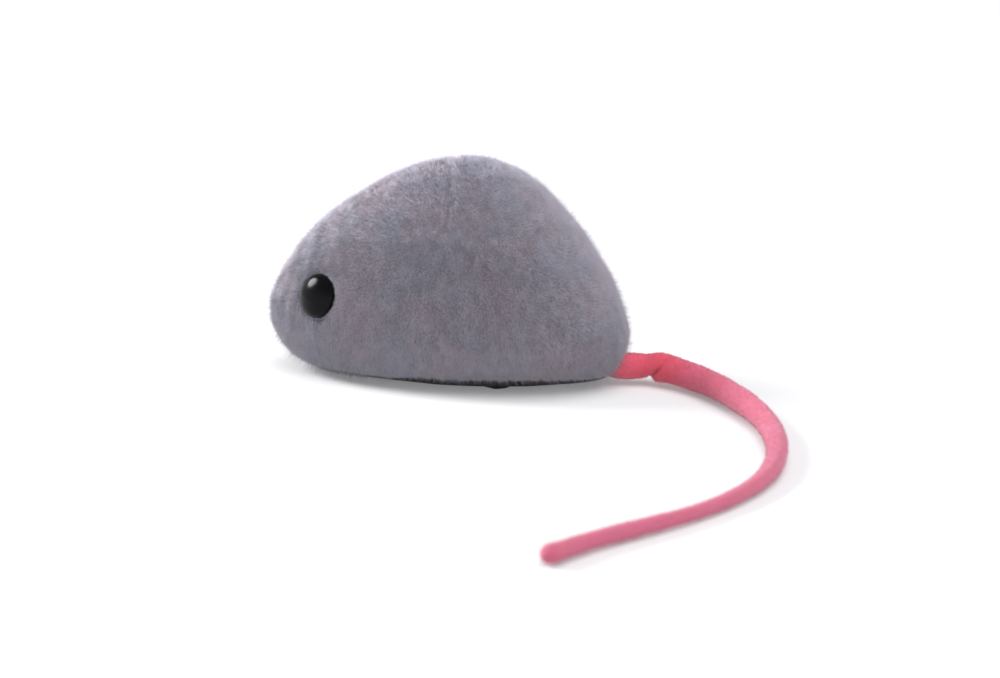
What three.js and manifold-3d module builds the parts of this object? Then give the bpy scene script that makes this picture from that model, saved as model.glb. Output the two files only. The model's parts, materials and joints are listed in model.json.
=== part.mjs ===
// Clockwork mouse: a plush-covered wind-up toy that runs on two rubber-tyred drive wheels and a nose roller.
// Units are millimetres and +Z is up. The nose points to -X, the mouse's left flank is on -Y and its key on +Y.
// The origin is the centre of the base plate's flat underside. The wheels reach down to FLOOR_Z.
import * as THREE from 'three';
import { mergeVertices } from 'three/addons/utils/BufferGeometryUtils.js';
import Module from 'manifold-3d';

const wasm = await Module();
wasm.setup();

const { Vector2, Vector3 } = THREE;
const TURN = 2 * Math.PI;
const CENTRE = new Vector2(0, 0);
// Cutters start and end well clear of what they cut.
const CUT_OVER = 1;
const CUT_Z = -5;
const THROUGH_BASE = [CUT_Z, 6];
const THROUGH_WHEEL = [-3, 3];

// ---------------------------------------------------------------- driving dimensions

const RUN = 0.08; // radial clearance of a running journal
const PRESS = 0.05; // radial gap left at a pressed joint
const END_PLAY = 0.1;

const FLOOR_Z = -1.2;
const HEM_Z = 1.6; // the plush cover's lower edge
// The edge hangs lower behind the nose and at the rump: where, how far to each side, and by how much.
const HEM_SAGS = [{ x: -18, reach: 8.5, drop: 1.3 }, { x: 31, reach: 5, drop: 0.7 }];

// The plush body's outside from hem to crown: height above the hem, reach of the nose, reach of the rump,
// half width, where it is widest as a share of the length from the nose, and the rump's fullness.
const BODY_LEVELS = [
  [0, -31, 33.5, 14.3, 0.5, 1.8],
  [4.4, -34.5, 35.5, 17.8, 0.54, 2.15],
  [10.4, -35.5, 34.5, 19, 0.56, 2.3],
  [18.4, -31.5, 31, 17.5, 0.56, 2.3],
  [25.9, -25.5, 26, 15, 0.56, 2.3],
  [32.9, -16, 20, 10.5, 0.56, 2.3],
  [37.9, -6, 13, 6, 0.56, 2.3],
  [39.9, 3.5, 3.5, 0, 0.56, 2.3],
];
const BODY_HEIGHT = 39.9;
const NOSE_FULLNESS = 1.8; // fullness is a superellipse's exponent: 2 is an ellipse, more is blunter
const BODY_ROWS = 11;
const ROW_CROWDING = 1.3; // above 1, rows crowd towards the hem
const CROWN_SHARE = 0.985;
const BODY_COLUMNS = 32;
const HEM_CORNERS = 40;

const PLUSH_T = 1.6;
const SHELL_OUT = 1.7; // depth of the shell's outside below the plush surface
const SHELL_IN = 2.8;
const SHELL_RIM_Z = HEM_Z + 0.1;

const BASE = {
  flangeInset: 1.4, flangeT: HEM_Z - 0.1, edge: 0.3, underSag: 0.5, sagStart: 0.05,
  plugInset: 3.1, plugZ: 0.3, top: 2.2, slotGap: 0.2,
};

const EYE = {
  level: 0.2335, angle: 0.75 * Math.PI, r: 4.2, dome: 2.5, rim: 0.5, sink: 0.8, chamfer: 0.3,
  stemR: 1.1, stem: 5.0,
};
const EYE_HOLE = { gap: 0.2, under: 0.1, deep: 8, high: 4 };
const EYE_WASHER = { r: 3.1, t: 0.7, depth: 3.9, chamfer: 0.3 };

// The motor's frame: two plates in XZ planes, with every arbor along Y.
const PLATE = {
  inner: 6.2,
  t: 0.8,
  cornerR: 1.7,
  // x and z, anticlockwise from the foot behind the nose roller
  corners: [[-10.6, 2.5], [21, 2.5], [20.6, 8], [9.7, 30], [-4, 30], [-14.6, 18.6]],
};
const PLATE_OUT = PLATE.inner + PLATE.t;

const GEAR_MODULE = 0.5;
const GEAR_BACKLASH = 0.1;
const PRESSURE_ANGLE = 20; // degrees
const ADDENDUM = 0.95; // tooth height above and depth below the pitch circle, in modules
const DEDENDUM = 1.25;
const GREAT = { teeth: 36, y: [-1.2, 0] };
const SECOND_PINION = { teeth: 9, y: [-1.7, 0.5] };
const SECOND_WHEEL = { teeth: 32, y: [3, 4] };
const AXLE_PINION = { teeth: 10, y: [2.6, 4.4] };

const WHEEL = {
  x: 12, r: 6.5, face: [7.5, 9.5], webT: 0.8, webR: 4.3, hubR: 2.2, rimR: 5.6, grooveR: 5.0,
  tyreW: 1.5, treadEdge: [0.35, 0.4], sides: 20,
};
const AXLE = { r: 1.0, end: 9.8, sidePlay: 0.15, z: FLOOR_Z + WHEEL.r };
const ROLLER = {
  x: -19, r: 3.8, halfW: 2.7, edge: 0.4, pinR: 0.8, pinEnd: 4.7,
  lug: [3.4, 4.6], lugHalf: 2.4, lugFoot: 1, lugTop: 5.0, slotHalf: 4.3, slotGap: 0.2,
};
ROLLER.z = FLOOR_Z + ROLLER.r;

// Arbor centres in the XZ plane, stepped up the train from the drive axle by gear centre distances.
const centreDistance = (a, b) => ((a.teeth + b.teeth) * GEAR_MODULE) / 2;
const stepFrom = (from, distance, z) =>
  new Vector2(from.x - Math.sqrt(distance ** 2 - (z - from.y) ** 2), z);
const AXLE_AT = new Vector2(WHEEL.x, AXLE.z);
const SECOND_AT = stepFrom(AXLE_AT, centreDistance(SECOND_WHEEL, AXLE_PINION), 12.0);
const GREAT_AT = stepFrom(SECOND_AT, centreDistance(GREAT, SECOND_PINION), 21.9);

const PILLARS = {
  pillar_front_upper: { at: new Vector2(-12.2, 17.5), r: 1.2 },
  pillar_rear_upper: { at: new Vector2(8.0, 27.6), r: 1.2 },
  pillar_front_lower: { at: new Vector2(-8.0, 4.6), r: 2.1 },
  pillar_rear_lower: { at: new Vector2(18.5, 4.6), r: 2.1 },
};
const TENON = { r: 0.9, headR: 1.4, topR: 1.2, headT: 0.4 };

const ARBOR = { r: 1.2, hubR: 1.7, clipR: 0.85, y: [-8.6, 22.4], groove: [-7.9, -7.2] };
const ARBOR_CLIP = { r: 2.1, opening: 0.6, y: [-7.8, -7.3] };
const SECOND_ARBOR = { r: 1.1, pivotR: 0.8, end: 7.5 };
const RATCHET = { teeth: 12, r: 3.4, rootR: 2.6, faceSlant: 0.08, y: [0.15, 1.3] };
const CLICK = {
  y: [0.1, 1.0], pivotR: 6.2, pivotAngle: 2.6, noseAngle: 1.75, noseGap: 0.2, noseT: 1.1, noseLean: 0.02,
  eyeR: 1.25, rivetR: 0.6, sides: 10,
};
const CLICK_RIVET = { headR: 1.0, topR: 0.8, headT: 0.45, gap: 0.05 };
const SPRING = { y: [-5.7, -2.0], t: 0.4, innerR: 2.3, outerR: 8.4, turns: 5.5, turnSteps: 16 };
// The hook at the spring's outer end: its gap round the pillar, its steps and sweep, and where the coil leaves.
const SPRING_HOOK = { gap: 0.15, steps: 6, sweep: 1.35 * Math.PI, lead: 0.55 };
const KEY = {
  hubR: 2.2, chamfer: 0.3, y: [17.7, 24.2], bore: 22.5,
  wingY: [20.2, 29.5], wingReach: 8.5, waist: 1.6, foot: 0.6, wingArc: 2.2, t: 1.4,
  eyeletR: 2.0, eyeletOut: 0.6,
};
const KEY_HOLE = { r: 2.0, y: [5, 25] };

const SCREW = {
  r: 0.9, headR: 1.5, headT: 1.0, headEdge: 0.2, pointL: 0.8, pointR: 0.2, seatZ: 0.1,
  crossHalf: 1.0, crossT: 0.44, crossDepth: 0.45, boreR: 1.15, recess: 1.15, recessR: 1.7,
};
const MOTOR_SCREW_L = 5.6;
const PILLAR_PILOT = [-4, 1.4]; // the screw hole in a lower pillar, measured from its middle
const BASE_SCREWS = {
  base_screw_front: new Vector2(-26.2, 0),
  base_screw_left: new Vector2(23.1, -5.5),
  base_screw_right: new Vector2(23.1, 5.5),
};
const MOTOR_SCREWS = {
  motor_screw_front: new Vector2(PILLARS.pillar_front_lower.at.x, 0),
  motor_screw_rear: new Vector2(PILLARS.pillar_rear_lower.at.x, 0),
};
const BOSS = { r: 1.8, bottom: 2.4, top: 10, screwTop: 8, pilotOver: 0.4, ribT: 1.2, ribReach: 8 };

// The tail cord leaves under the rump, kinks sideways, then lies on the floor in one long curve.
const TAIL = { rootR: 2.8, tunnelGap: 0.35, floorGap: 0.1, sides: 10, rootSteps: 8, steps: 26 };
const TAIL_ROOT_PATH = [
  [24.6, 0, 6.2],
  [28.4, 0, 5.5],
  [31.8, 0.3, 4.4],
  [35.0, 0.8, 3.3],
  [38.2, 1.6, 2.7],
];
const KINK = new Vector3(41.4, 2.6, 2.4);
// x, y and radius. The cord is fullest just past the kink and thins out round the bend.
const TAIL_FREE_PATH = [
  [KINK.x, KINK.y, 3.0],
  [50.1, -2.8, 3.0],
  [59.1, -14.2, 2.75],
  [66.2, -28.6, 2.5],
  [69.7, -45.2, 2.15],
  [68.6, -59.6, 1.85],
  [62.6, -73.8, 1.65],
  [55.5, -84.2, 1.8],
  [48.6, -92.8, 1.85],
  [42.6, -103.0, 2.05],
];
// The round tip: how far its radius closes, and where its last rings stand, as shares of its length from the end.
const TIP = { blunt: 0.95, rings: [0.4, 0.1, 0] };
const KNUCKLE = { inset: 0.02, segments: [12, 8] };
const FERRULE = { x: [24.9, 27.9], t: 0.5, gap: 0.15 };

// ---------------------------------------------------------------- materials

const material = (color, roughness, metalness = 0) =>
  new THREE.MeshStandardMaterial({ color, roughness, metalness });
const MATERIAL = {
  plush: material(0x75737c, 0.95),
  shell: material(0x4a4a4f, 0.6),
  blackPlastic: material(0x17171a, 0.45),
  eye: material(0x050506, 0.08),
  tail: material(0xd95f74, 0.85),
  steel: material(0xb4b7bb, 0.35, 1),
  springSteel: material(0x5d6470, 0.3, 1),
  brass: material(0xc9a24a, 0.3, 1),
  rubber: material(0x222224, 0.8),
  nylon: material(0xe6e2d6, 0.5),
};

// ---------------------------------------------------------------- solids

// A geometry as a manifold-3d solid, turned right side out if its faces point inwards.
function toSolid(geometry) {
  const bare = new THREE.BufferGeometry();
  bare.setAttribute('position', geometry.getAttribute('position'));
  if (geometry.index) bare.setIndex(geometry.index);
  const merged = mergeVertices(bare, 1e-4);
  const triVerts = new Uint32Array(merged.index.array);
  const build = () =>
    new wasm.Manifold(
      new wasm.Mesh({ numProp: 3, vertProperties: merged.attributes.position.array, triVerts }),
    );
  const solid = build();
  if (solid.volume() > 0) return solid;
  for (let i = 0; i < triVerts.length; i += 3) {
    [triVerts[i + 1], triVerts[i + 2]] = [triVerts[i + 2], triVerts[i + 1]];
  }
  return build();
}

function toGeometry(solid) {
  const mesh = solid.getMesh();
  const position = new Float32Array(mesh.numVert * 3);
  for (let i = 0; i < mesh.numVert; i++) {
    position.set(mesh.vertProperties.subarray(i * mesh.numProp, i * mesh.numProp + 3), i * 3);
  }
  const geometry = new THREE.BufferGeometry();
  geometry.setAttribute('position', new THREE.BufferAttribute(position, 3));
  geometry.setIndex(new THREE.BufferAttribute(mesh.triVerts, 1));
  return geometry;
}

const joined = (solids) => solids.reduce((sum, next) => sum.add(next));
const without = (solid, cutters) => cutters.reduce((rest, cutter) => rest.subtract(cutter), solid);

// An outline drawn in the XZ plane, filled from y0 to y1.
function plateY(shape, y0, y1) {
  const geometry = new THREE.ExtrudeGeometry(shape, { depth: y1 - y0, bevelEnabled: false });
  return toSolid(geometry.rotateX(Math.PI / 2).translate(0, y1, 0));
}

// An outline drawn in the XY plane, filled from z0 to z1.
function plateZ(shape, z0, z1) {
  const geometry = new THREE.ExtrudeGeometry(shape, { depth: z1 - z0, bevelEnabled: false });
  return toSolid(geometry.translate(0, 0, z0));
}

// A [radius, y] profile turned about the Y axis.
function turned(profile, segments = 12) {
  return toSolid(new THREE.LatheGeometry(profile.map(([r, y]) => new Vector2(r, y)), segments));
}

function rodY(at, r, y0, y1, segments = 12) {
  const geometry = new THREE.CylinderGeometry(r, r, y1 - y0, segments);
  return toSolid(geometry.translate(at.x, (y0 + y1) / 2, at.y));
}

function rodZ(at, r, z0, z1, segments = 12) {
  const geometry = new THREE.CylinderGeometry(r, r, z1 - z0, segments).rotateX(Math.PI / 2);
  return toSolid(geometry.translate(at.x, at.y, (z0 + z1) / 2));
}

function block([x0, x1], [y0, y1], [z0, z1]) {
  const geometry = new THREE.BoxGeometry(x1 - x0, y1 - y0, z1 - z0);
  return toSolid(geometry.translate((x0 + x1) / 2, (y0 + y1) / 2, (z0 + z1) / 2));
}

// A solid standing on a rounded body face: local +Y becomes the outward normal at point.
function stood(solid, point, normal) {
  const geometry = toGeometry(solid);
  geometry.applyQuaternion(new THREE.Quaternion().setFromUnitVectors(new Vector3(0, 1, 0), normal));
  return toSolid(geometry.translate(point.x, point.y, point.z));
}

// A closed surface from rings of equal length, fanned shut at both ends.
function lofted(rings) {
  const n = rings[0].length;
  const middle = (ring) =>
    ring.reduce((sum, p) => sum.add(p), new Vector3()).divideScalar(ring.length);
  const points = [...rings.flat(), middle(rings[0]), middle(rings.at(-1))];
  const first = points.length - 2;
  const last = points.length - 1;
  const top = (rings.length - 1) * n;
  const index = [];
  for (let j = 0; j < n; j++) {
    const k = (j + 1) % n;
    index.push(first, k, j, last, top + j, top + k);
    for (let i = 0; i < rings.length - 1; i++) {
      const a = i * n;
      const b = a + n;
      index.push(a + j, a + k, b + k, a + j, b + k, b + j);
    }
  }
  return toSolid(new THREE.BufferGeometry().setFromPoints(points).setIndex(index));
}

// ---------------------------------------------------------------- body surface

// 0 at the hem and 1 at the crown, spaced so that a round crown stays round.
const shareOfHeight = (z) => Math.asin(z / BODY_HEIGHT) / (Math.PI / 2);
const bodyLevel = new THREE.CubicInterpolant(
  BODY_LEVELS.map(([z]) => shareOfHeight(z)),
  BODY_LEVELS.flatMap(([, ...shape]) => shape),
  BODY_LEVELS[0].length - 1,
);

// angle 0 is the rump, a quarter turn is the right flank (+Y), a half turn is the nose.
function bodyPoint(share, angle) {
  const [nose, rump, half, widestAt, rumpFullness] = bodyLevel.evaluate(share);
  const widest = nose + (rump - nose) * widestAt;
  const forward = Math.cos(angle) < 0;
  const power = 2 / (forward ? NOSE_FULLNESS : rumpFullness);
  const reach = forward ? nose - widest : rump - widest;
  return new Vector3(
    widest + reach * Math.abs(Math.cos(angle)) ** power,
    half * Math.sign(Math.sin(angle)) * Math.abs(Math.sin(angle)) ** power,
    HEM_Z + BODY_HEIGHT * Math.sin((share * Math.PI) / 2),
  );
}

function bodyNormal(share, angle) {
  const step = 0.01;
  const along = bodyPoint(share, angle + step).sub(bodyPoint(share, angle - step));
  const low = Math.max(share - step, 0);
  const up = bodyPoint(Math.min(share + step, 0.999), angle).sub(bodyPoint(low, angle));
  return along.cross(up).normalize();
}

function insetPoint(share, angle, inset) {
  return bodyPoint(share, angle).addScaledVector(bodyNormal(share, angle), -inset);
}

// The body's surface moved inwards by inset, closed by a straight skirt down to a height that depends on x.
function bodyDome(inset, bottomAt) {
  const ring = (share) =>
    Array.from({ length: BODY_COLUMNS }, (_, j) => insetPoint(share, (TURN * j) / BODY_COLUMNS, inset));
  const shares = Array.from({ length: BODY_ROWS }, (_, i) => (i / BODY_ROWS) ** ROW_CROWDING);
  shares.push(CROWN_SHARE);
  const rings = shares.map(ring);
  const skirt = rings[0].map((p) => new Vector3(p.x, p.y, bottomAt(p.x)));
  if (inset === 0) rings[0] = skirt;
  else rings.unshift(skirt);
  return lofted(rings);
}

// The body's outline at the hem, moved inwards by insetAt(x).
function hemOutline(insetAt) {
  return Array.from({ length: HEM_CORNERS }, (_, j) => {
    const angle = (TURN * j) / HEM_CORNERS;
    const normal = bodyNormal(0, angle).setZ(0).normalize();
    const point = bodyPoint(0, angle);
    point.addScaledVector(normal, -insetAt(point.x));
    return new Vector2(point.x, point.y);
  });
}

// ---------------------------------------------------------------- covering, shell and base

const hemAt = (x) =>
  HEM_SAGS.reduce((z, sag) => z - sag.drop * Math.exp(-(((x - sag.x) / sag.reach) ** 2)), HEM_Z);

const eyeSides = { left: -1, right: 1 };
function eyeSeat(side) {
  const angle = eyeSides[side] * EYE.angle;
  return [bodyPoint(EYE.level, angle), bodyNormal(EYE.level, angle)];
}

function eyeHole(side) {
  const stemR = EYE.stemR + EYE_HOLE.gap;
  const headR = EYE.r + EYE_HOLE.gap;
  const floor = -EYE.sink - EYE_HOLE.under;
  const seat = turned([[0, -EYE_HOLE.deep], [stemR, -EYE_HOLE.deep], [stemR, floor],
    [headR, floor], [headR, EYE_HOLE.high], [0, EYE_HOLE.high]]);
  return stood(seat, ...eyeSeat(side));
}

const keyHole = () => rodY(GREAT_AT, KEY_HOLE.r, ...KEY_HOLE.y);

function plushCover() {
  const skin = bodyDome(0, hemAt).subtract(bodyDome(PLUSH_T, () => CUT_Z));
  return without(skin, [eyeHole('left'), eyeHole('right'), keyHole(), tailTunnel()]);
}

// A screw post moulded to the shell, with a rib that runs out to the wall.
function shellBoss(at) {
  const post = rodZ(at, BOSS.r, BOSS.bottom, BOSS.top);
  const half = BOSS.ribT / 2;
  const height = [BOSS.bottom, BOSS.top];
  if (at.y === 0) return post.add(block([at.x - BOSS.ribReach, at.x], [-half, half], height));
  const across = at.y > 0 ? [at.y, at.y + BOSS.ribReach] : [at.y - BOSS.ribReach, at.y];
  return post.add(block([at.x - half, at.x + half], across, height));
}

function bodyShell() {
  const outside = bodyDome(SHELL_OUT, () => SHELL_RIM_Z);
  const wall = outside.subtract(bodyDome(SHELL_IN, () => CUT_Z));
  const bosses = joined(Object.values(BASE_SCREWS).map(shellBoss)).intersect(outside);
  const pilotTop = BOSS.screwTop + BOSS.pilotOver;
  const pilots = Object.values(BASE_SCREWS).map((at) => rodZ(at, SCREW.r + PRESS, 0, pilotTop));
  return without(wall.add(bosses), [
    ...pilots, eyeHole('left'), eyeHole('right'), keyHole(), tailTunnel(),
  ]);
}

function rollerLug(side) {
  const [near, far] = ROLLER.lug;
  const across = side > 0 ? [near, far] : [-far, -near];
  return block([ROLLER.x - ROLLER.lugHalf, ROLLER.x + ROLLER.lugHalf], across, [ROLLER.lugFoot, ROLLER.lugTop]);
}

function screwHole(at) {
  return rodZ(at, SCREW.boreR, ...THROUGH_BASE).add(rodZ(at, SCREW.recessR, CUT_Z, SCREW.recess));
}

function basePlate() {
  // The flange steps in where the hem sags past it.
  const flangeInset = (x) =>
    BASE.flangeInset + BASE.underSag * Math.min(1, (HEM_Z - hemAt(x)) / BASE.sagStart);
  const flangeRing = (edge, z) =>
    hemOutline((x) => flangeInset(x) + edge).map((p) => new Vector3(p.x, p.y, z));
  const flange = lofted([flangeRing(BASE.edge, 0), flangeRing(0, BASE.edge), flangeRing(0, BASE.flangeT)]);
  const plug = plateZ(new THREE.Shape(hemOutline(() => BASE.plugInset)), BASE.plugZ, BASE.top);
  const body = joined([flange, plug, rollerLug(-1), rollerLug(1)]);
  // A wheel needs only its own length where it passes the base's top.
  const reach = Math.sqrt(WHEEL.r ** 2 - (AXLE.z - BASE.top) ** 2) + BASE.slotGap;
  const slotX = [WHEEL.x - reach, WHEEL.x + reach];
  const slotY = [WHEEL.face[0] - BASE.slotGap, WHEEL.face[1] + BASE.slotGap];
  const rollerSlot = ROLLER.lug[0] - ROLLER.slotGap;
  const pinHole = ROLLER.pinEnd + END_PLAY;
  const slots = [
    block(slotX, slotY, THROUGH_BASE),
    block(slotX, [-slotY[1], -slotY[0]], THROUGH_BASE),
    block([ROLLER.x - ROLLER.slotHalf, ROLLER.x + ROLLER.slotHalf], [-rollerSlot, rollerSlot], THROUGH_BASE),
    rodY(new Vector2(ROLLER.x, ROLLER.z), ROLLER.pinR + PRESS, -pinHole, pinHole),
  ];
  const holes = Object.values({ ...BASE_SCREWS, ...MOTOR_SCREWS }).map(screwHole);
  return without(body, [...slots, ...holes, tailTunnel()]);
}

// ---------------------------------------------------------------- eyes

function eye() {
  const steps = 6;
  const dome = Array.from({ length: steps }, (_, i) => {
    const a = (i / steps) * (Math.PI / 2);
    return [EYE.r * Math.cos(a), -EYE.sink + EYE.rim + (EYE.dome - EYE.rim) * Math.sin(a)];
  });
  return turned([
    [0, -EYE.sink - EYE.stem], [EYE.stemR, -EYE.sink - EYE.stem], [EYE.stemR, -EYE.sink],
    [EYE.r - EYE.chamfer, -EYE.sink], ...dome, [0, -EYE.sink + EYE.dome],
  ], 16);
}

function eyeWasher() {
  const top = -EYE_WASHER.depth;
  const bore = EYE.stemR + PRESS;
  return turned([
    [bore, top - EYE_WASHER.t], [EYE_WASHER.r, top - EYE_WASHER.t],
    [EYE_WASHER.r - EYE_WASHER.chamfer, top], [bore, top], [bore, top - EYE_WASHER.t],
  ]);
}

// ---------------------------------------------------------------- tail

// A round cord along a curve, given its radius at each share of the length.
function cord(curve, shares, radii) {
  const up = new Vector3(0, 0, 1);
  const rings = shares.map((share, i) => {
    const centre = curve.getPointAt(share);
    const along = curve.getTangentAt(share);
    const side = along.clone().cross(up).normalize();
    const above = side.clone().cross(along).normalize();
    return Array.from({ length: TAIL.sides }, (_, j) => {
      const a = (TURN * j) / TAIL.sides;
      return centre.clone()
        .addScaledVector(side, radii[i] * Math.cos(a))
        .addScaledVector(above, radii[i] * Math.sin(a));
    });
  });
  return lofted(rings);
}

const tailRootCurve = new THREE.CatmullRomCurve3(TAIL_ROOT_PATH.map((p) => new Vector3(...p)));

function rootCord(radius) {
  const shares = Array.from({ length: TAIL.rootSteps + 1 }, (_, i) => i / TAIL.rootSteps);
  return cord(tailRootCurve, shares, shares.map(() => radius));
}

const tailRoot = () => rootCord(TAIL.rootR);
// The channel that the cord runs through in the plush, the shell and the base.
const tailTunnel = () => rootCord(TAIL.rootR + TAIL.tunnelGap);

// The part past the kink turns there on a round knuckle, rests along the floor and ends in a round tip.
function tailFree() {
  const points = TAIL_FREE_PATH.map(([x, y, r], i) =>
    new Vector3(x, y, i === 0 ? KINK.z : FLOOR_Z + TAIL.floorGap + r));
  const curve = new THREE.CatmullRomCurve3(points);
  const length = curve.getLength();
  const last = TAIL_FREE_PATH.length - 1;
  const [, , kinkR] = TAIL_FREE_PATH[0];
  const [, , tipR] = TAIL_FREE_PATH[last];
  const radius = (share) => {
    const at = curve.getUtoTmapping(share) * last;
    const i = Math.min(Math.floor(at), last - 1);
    const round = Math.max(0, 1 - ((1 - share) * length) / tipR);
    const along = THREE.MathUtils.lerp(TAIL_FREE_PATH[i][2], TAIL_FREE_PATH[i + 1][2], at - i);
    return along * Math.sqrt(1 - (TIP.blunt * round) ** 2);
  };
  const tipShare = tipR / length;
  const shares = Array.from({ length: TAIL.steps + 1 }, (_, i) => (i / TAIL.steps) * (1 - tipShare));
  shares.push(...TIP.rings.map((ring) => 1 - tipShare * ring));
  const knuckle = new THREE.SphereGeometry(kinkR - KNUCKLE.inset, ...KNUCKLE.segments);
  return cord(curve, shares, shares.map(radius)).add(toSolid(knuckle.translate(...KINK.toArray())));
}

function ferrule() {
  const [x0, x1] = FERRULE.x;
  const bore = TAIL.rootR + FERRULE.gap;
  const ring = turned([
    [bore, 0], [bore + FERRULE.t, 0], [bore + FERRULE.t, x1 - x0], [bore, x1 - x0], [bore, 0],
  ]);
  const start = tailRootCurve.getPointAt(0);
  const axis = tailRootCurve.getTangentAt(0);
  return stood(ring, start.addScaledVector(axis, x0 - TAIL_ROOT_PATH[0][0]), axis);
}

// ---------------------------------------------------------------- motor frame

// Draws to a corner and round it towards the next one.
function roundedCorner(shape, corner, next) {
  const at = new Vector2(...corner);
  const before = shape.currentPoint.clone().sub(at).setLength(PLATE.cornerR).add(at);
  const after = new Vector2(...next).sub(at).setLength(PLATE.cornerR).add(at);
  shape.lineTo(before.x, before.y);
  shape.quadraticCurveTo(at.x, at.y, after.x, after.y);
}

function motorPlate(side) {
  const [footFront, footRear, shoulder, crownRear, crownFront, chin] = PLATE.corners;
  const shape = new THREE.Shape();
  shape.moveTo(...footFront);
  roundedCorner(shape, footRear, shoulder);
  shape.lineTo(...shoulder);
  roundedCorner(shape, crownRear, crownFront);
  roundedCorner(shape, crownFront, chin);
  roundedCorner(shape, chin, footFront);
  shape.closePath();
  const y = side > 0 ? [PLATE.inner, PLATE_OUT] : [-PLATE_OUT, -PLATE.inner];
  const hole = (at, r) => rodY(at, r, y[0] - CUT_OVER, y[1] + CUT_OVER);
  return without(plateY(shape, ...y), [
    hole(GREAT_AT, ARBOR.r + RUN),
    hole(SECOND_AT, SECOND_ARBOR.pivotR + RUN),
    hole(AXLE_AT, AXLE.r + RUN),
    ...Object.values(PILLARS).map(({ at }) => hole(at, TENON.r + PRESS)),
  ]);
}

// A spacer between the plates, with a riveted tenon at each end.
function pillar({ r }) {
  const shoulder = PLATE.inner - PRESS;
  const head = PLATE_OUT + PRESS;
  const half = [[0, head + TENON.headT], [TENON.topR, head + TENON.headT], [TENON.headR, head],
    [TENON.r, head], [TENON.r, shoulder], [r, shoulder]];
  const mirrored = half.map(([radius, y]) => [radius, -y]).reverse();
  return turned([...half, ...mirrored]);
}

function lowerPillar(spec) {
  return pillar(spec).subtract(rodZ(CENTRE, SCREW.r + PRESS, ...PILLAR_PILOT));
}

// ---------------------------------------------------------------- gears

const involute = (cosine) => Math.tan(Math.acos(cosine)) - Math.acos(cosine);

// A spur gear outline with straight-sided teeth drawn inside the involute. phase is one tooth's angle.
function gearShape(teeth, bore, phase) {
  const pitchR = (teeth * GEAR_MODULE) / 2;
  const baseR = pitchR * Math.cos(THREE.MathUtils.degToRad(PRESSURE_ANGLE));
  const tipR = pitchR + GEAR_MODULE * ADDENDUM;
  const rootR = pitchR - GEAR_MODULE * DEDENDUM;
  const halfAtPitch = (Math.PI * GEAR_MODULE / 2 - GEAR_BACKLASH) / (2 * pitchR);
  const halfAt = (r) => halfAtPitch + involute(baseR / pitchR) - involute(Math.min(1, baseR / r));
  const polar = (r, a) => new Vector2(r * Math.cos(a), r * Math.sin(a));
  const points = [];
  for (let i = 0; i < teeth; i++) {
    const a = phase + (TURN * i) / teeth;
    const foot = halfAt(Math.max(rootR, baseR));
    points.push(polar(rootR, a - foot), polar(tipR, a - halfAt(tipR)));
    points.push(polar(tipR, a + halfAt(tipR)), polar(rootR, a + foot));
  }
  const shape = new THREE.Shape(points);
  shape.holes.push(new THREE.Path().absarc(0, 0, bore, 0, TURN, true));
  return shape;
}

function gear({ teeth, y }, bore, phase) {
  const shape = gearShape(teeth, bore, phase);
  const geometry = new THREE.ExtrudeGeometry(shape, {
    depth: y[1] - y[0], bevelEnabled: false, curveSegments: 8,
  });
  return toSolid(geometry.rotateX(Math.PI / 2).translate(0, y[1], 0));
}

const bearing = (from, to) => Math.atan2(to.y - from.y, to.x - from.x);
const toSecond = bearing(GREAT_AT, SECOND_AT);
const toAxle = bearing(SECOND_AT, AXLE_AT);

// A pinion meets the wheel that drives it with a gap between two of its teeth.
const gapFacing = (angle, { teeth }) => angle + Math.PI + Math.PI / teeth;

function greatWheel() {
  const wheel = gear(GREAT, ARBOR.r + RUN, toSecond);
  return wheel.subtract(rodY(clickPivot, CLICK.rivetR + PRESS, ...THROUGH_WHEEL, CLICK.sides));
}

// Saw teeth whose steep faces lead when the spring drives.
function ratchetWheel() {
  const points = [];
  for (let i = 0; i < RATCHET.teeth; i++) {
    const low = (TURN * (i + RATCHET.faceSlant)) / RATCHET.teeth;
    const high = (TURN * (i + 1)) / RATCHET.teeth;
    points.push(new Vector2(Math.cos(low), Math.sin(low)).multiplyScalar(RATCHET.rootR));
    points.push(new Vector2(Math.cos(high), Math.sin(high)).multiplyScalar(RATCHET.r));
  }
  const bore = rodY(CENTRE, ARBOR.r + PRESS, ...THROUGH_WHEEL);
  return plateY(new THREE.Shape(points), ...RATCHET.y).subtract(bore);
}

const polarPoint = (r, angle) => new Vector2(r * Math.cos(angle), r * Math.sin(angle));
const clickPivot = polarPoint(CLICK.pivotR, CLICK.pivotAngle);

// The pawl on the great wheel, drawn riding just clear of the ratchet's tips.
function click() {
  const nose = polarPoint(RATCHET.r + CLICK.noseGap, CLICK.noseAngle);
  const back = polarPoint(RATCHET.r + CLICK.noseGap + CLICK.noseT, CLICK.noseAngle + CLICK.noseLean);
  const lean = bearing(nose, clickPivot);
  const shape = new THREE.Shape();
  shape.moveTo(nose.x, nose.y);
  shape.absarc(clickPivot.x, clickPivot.y, CLICK.eyeR, lean + Math.PI / 2, lean - Math.PI / 2, true);
  shape.lineTo(back.x, back.y);
  const rivet = rodY(clickPivot, CLICK.rivetR + PRESS, ...THROUGH_WHEEL, CLICK.sides);
  return plateY(shape, ...CLICK.y).subtract(rivet);
}

function clickRivet() {
  const { headR, topR, headT, gap } = CLICK_RIVET;
  const low = GREAT.y[0] - gap;
  const high = CLICK.y[1] + gap;
  return turned([
    [0, low - headT], [topR, low - headT], [headR, low], [CLICK.rivetR, low],
    [CLICK.rivetR, high], [headR, high], [topR, high + headT], [0, high + headT],
  ], CLICK.sides);
}

// ---------------------------------------------------------------- arbors and mainspring

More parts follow.
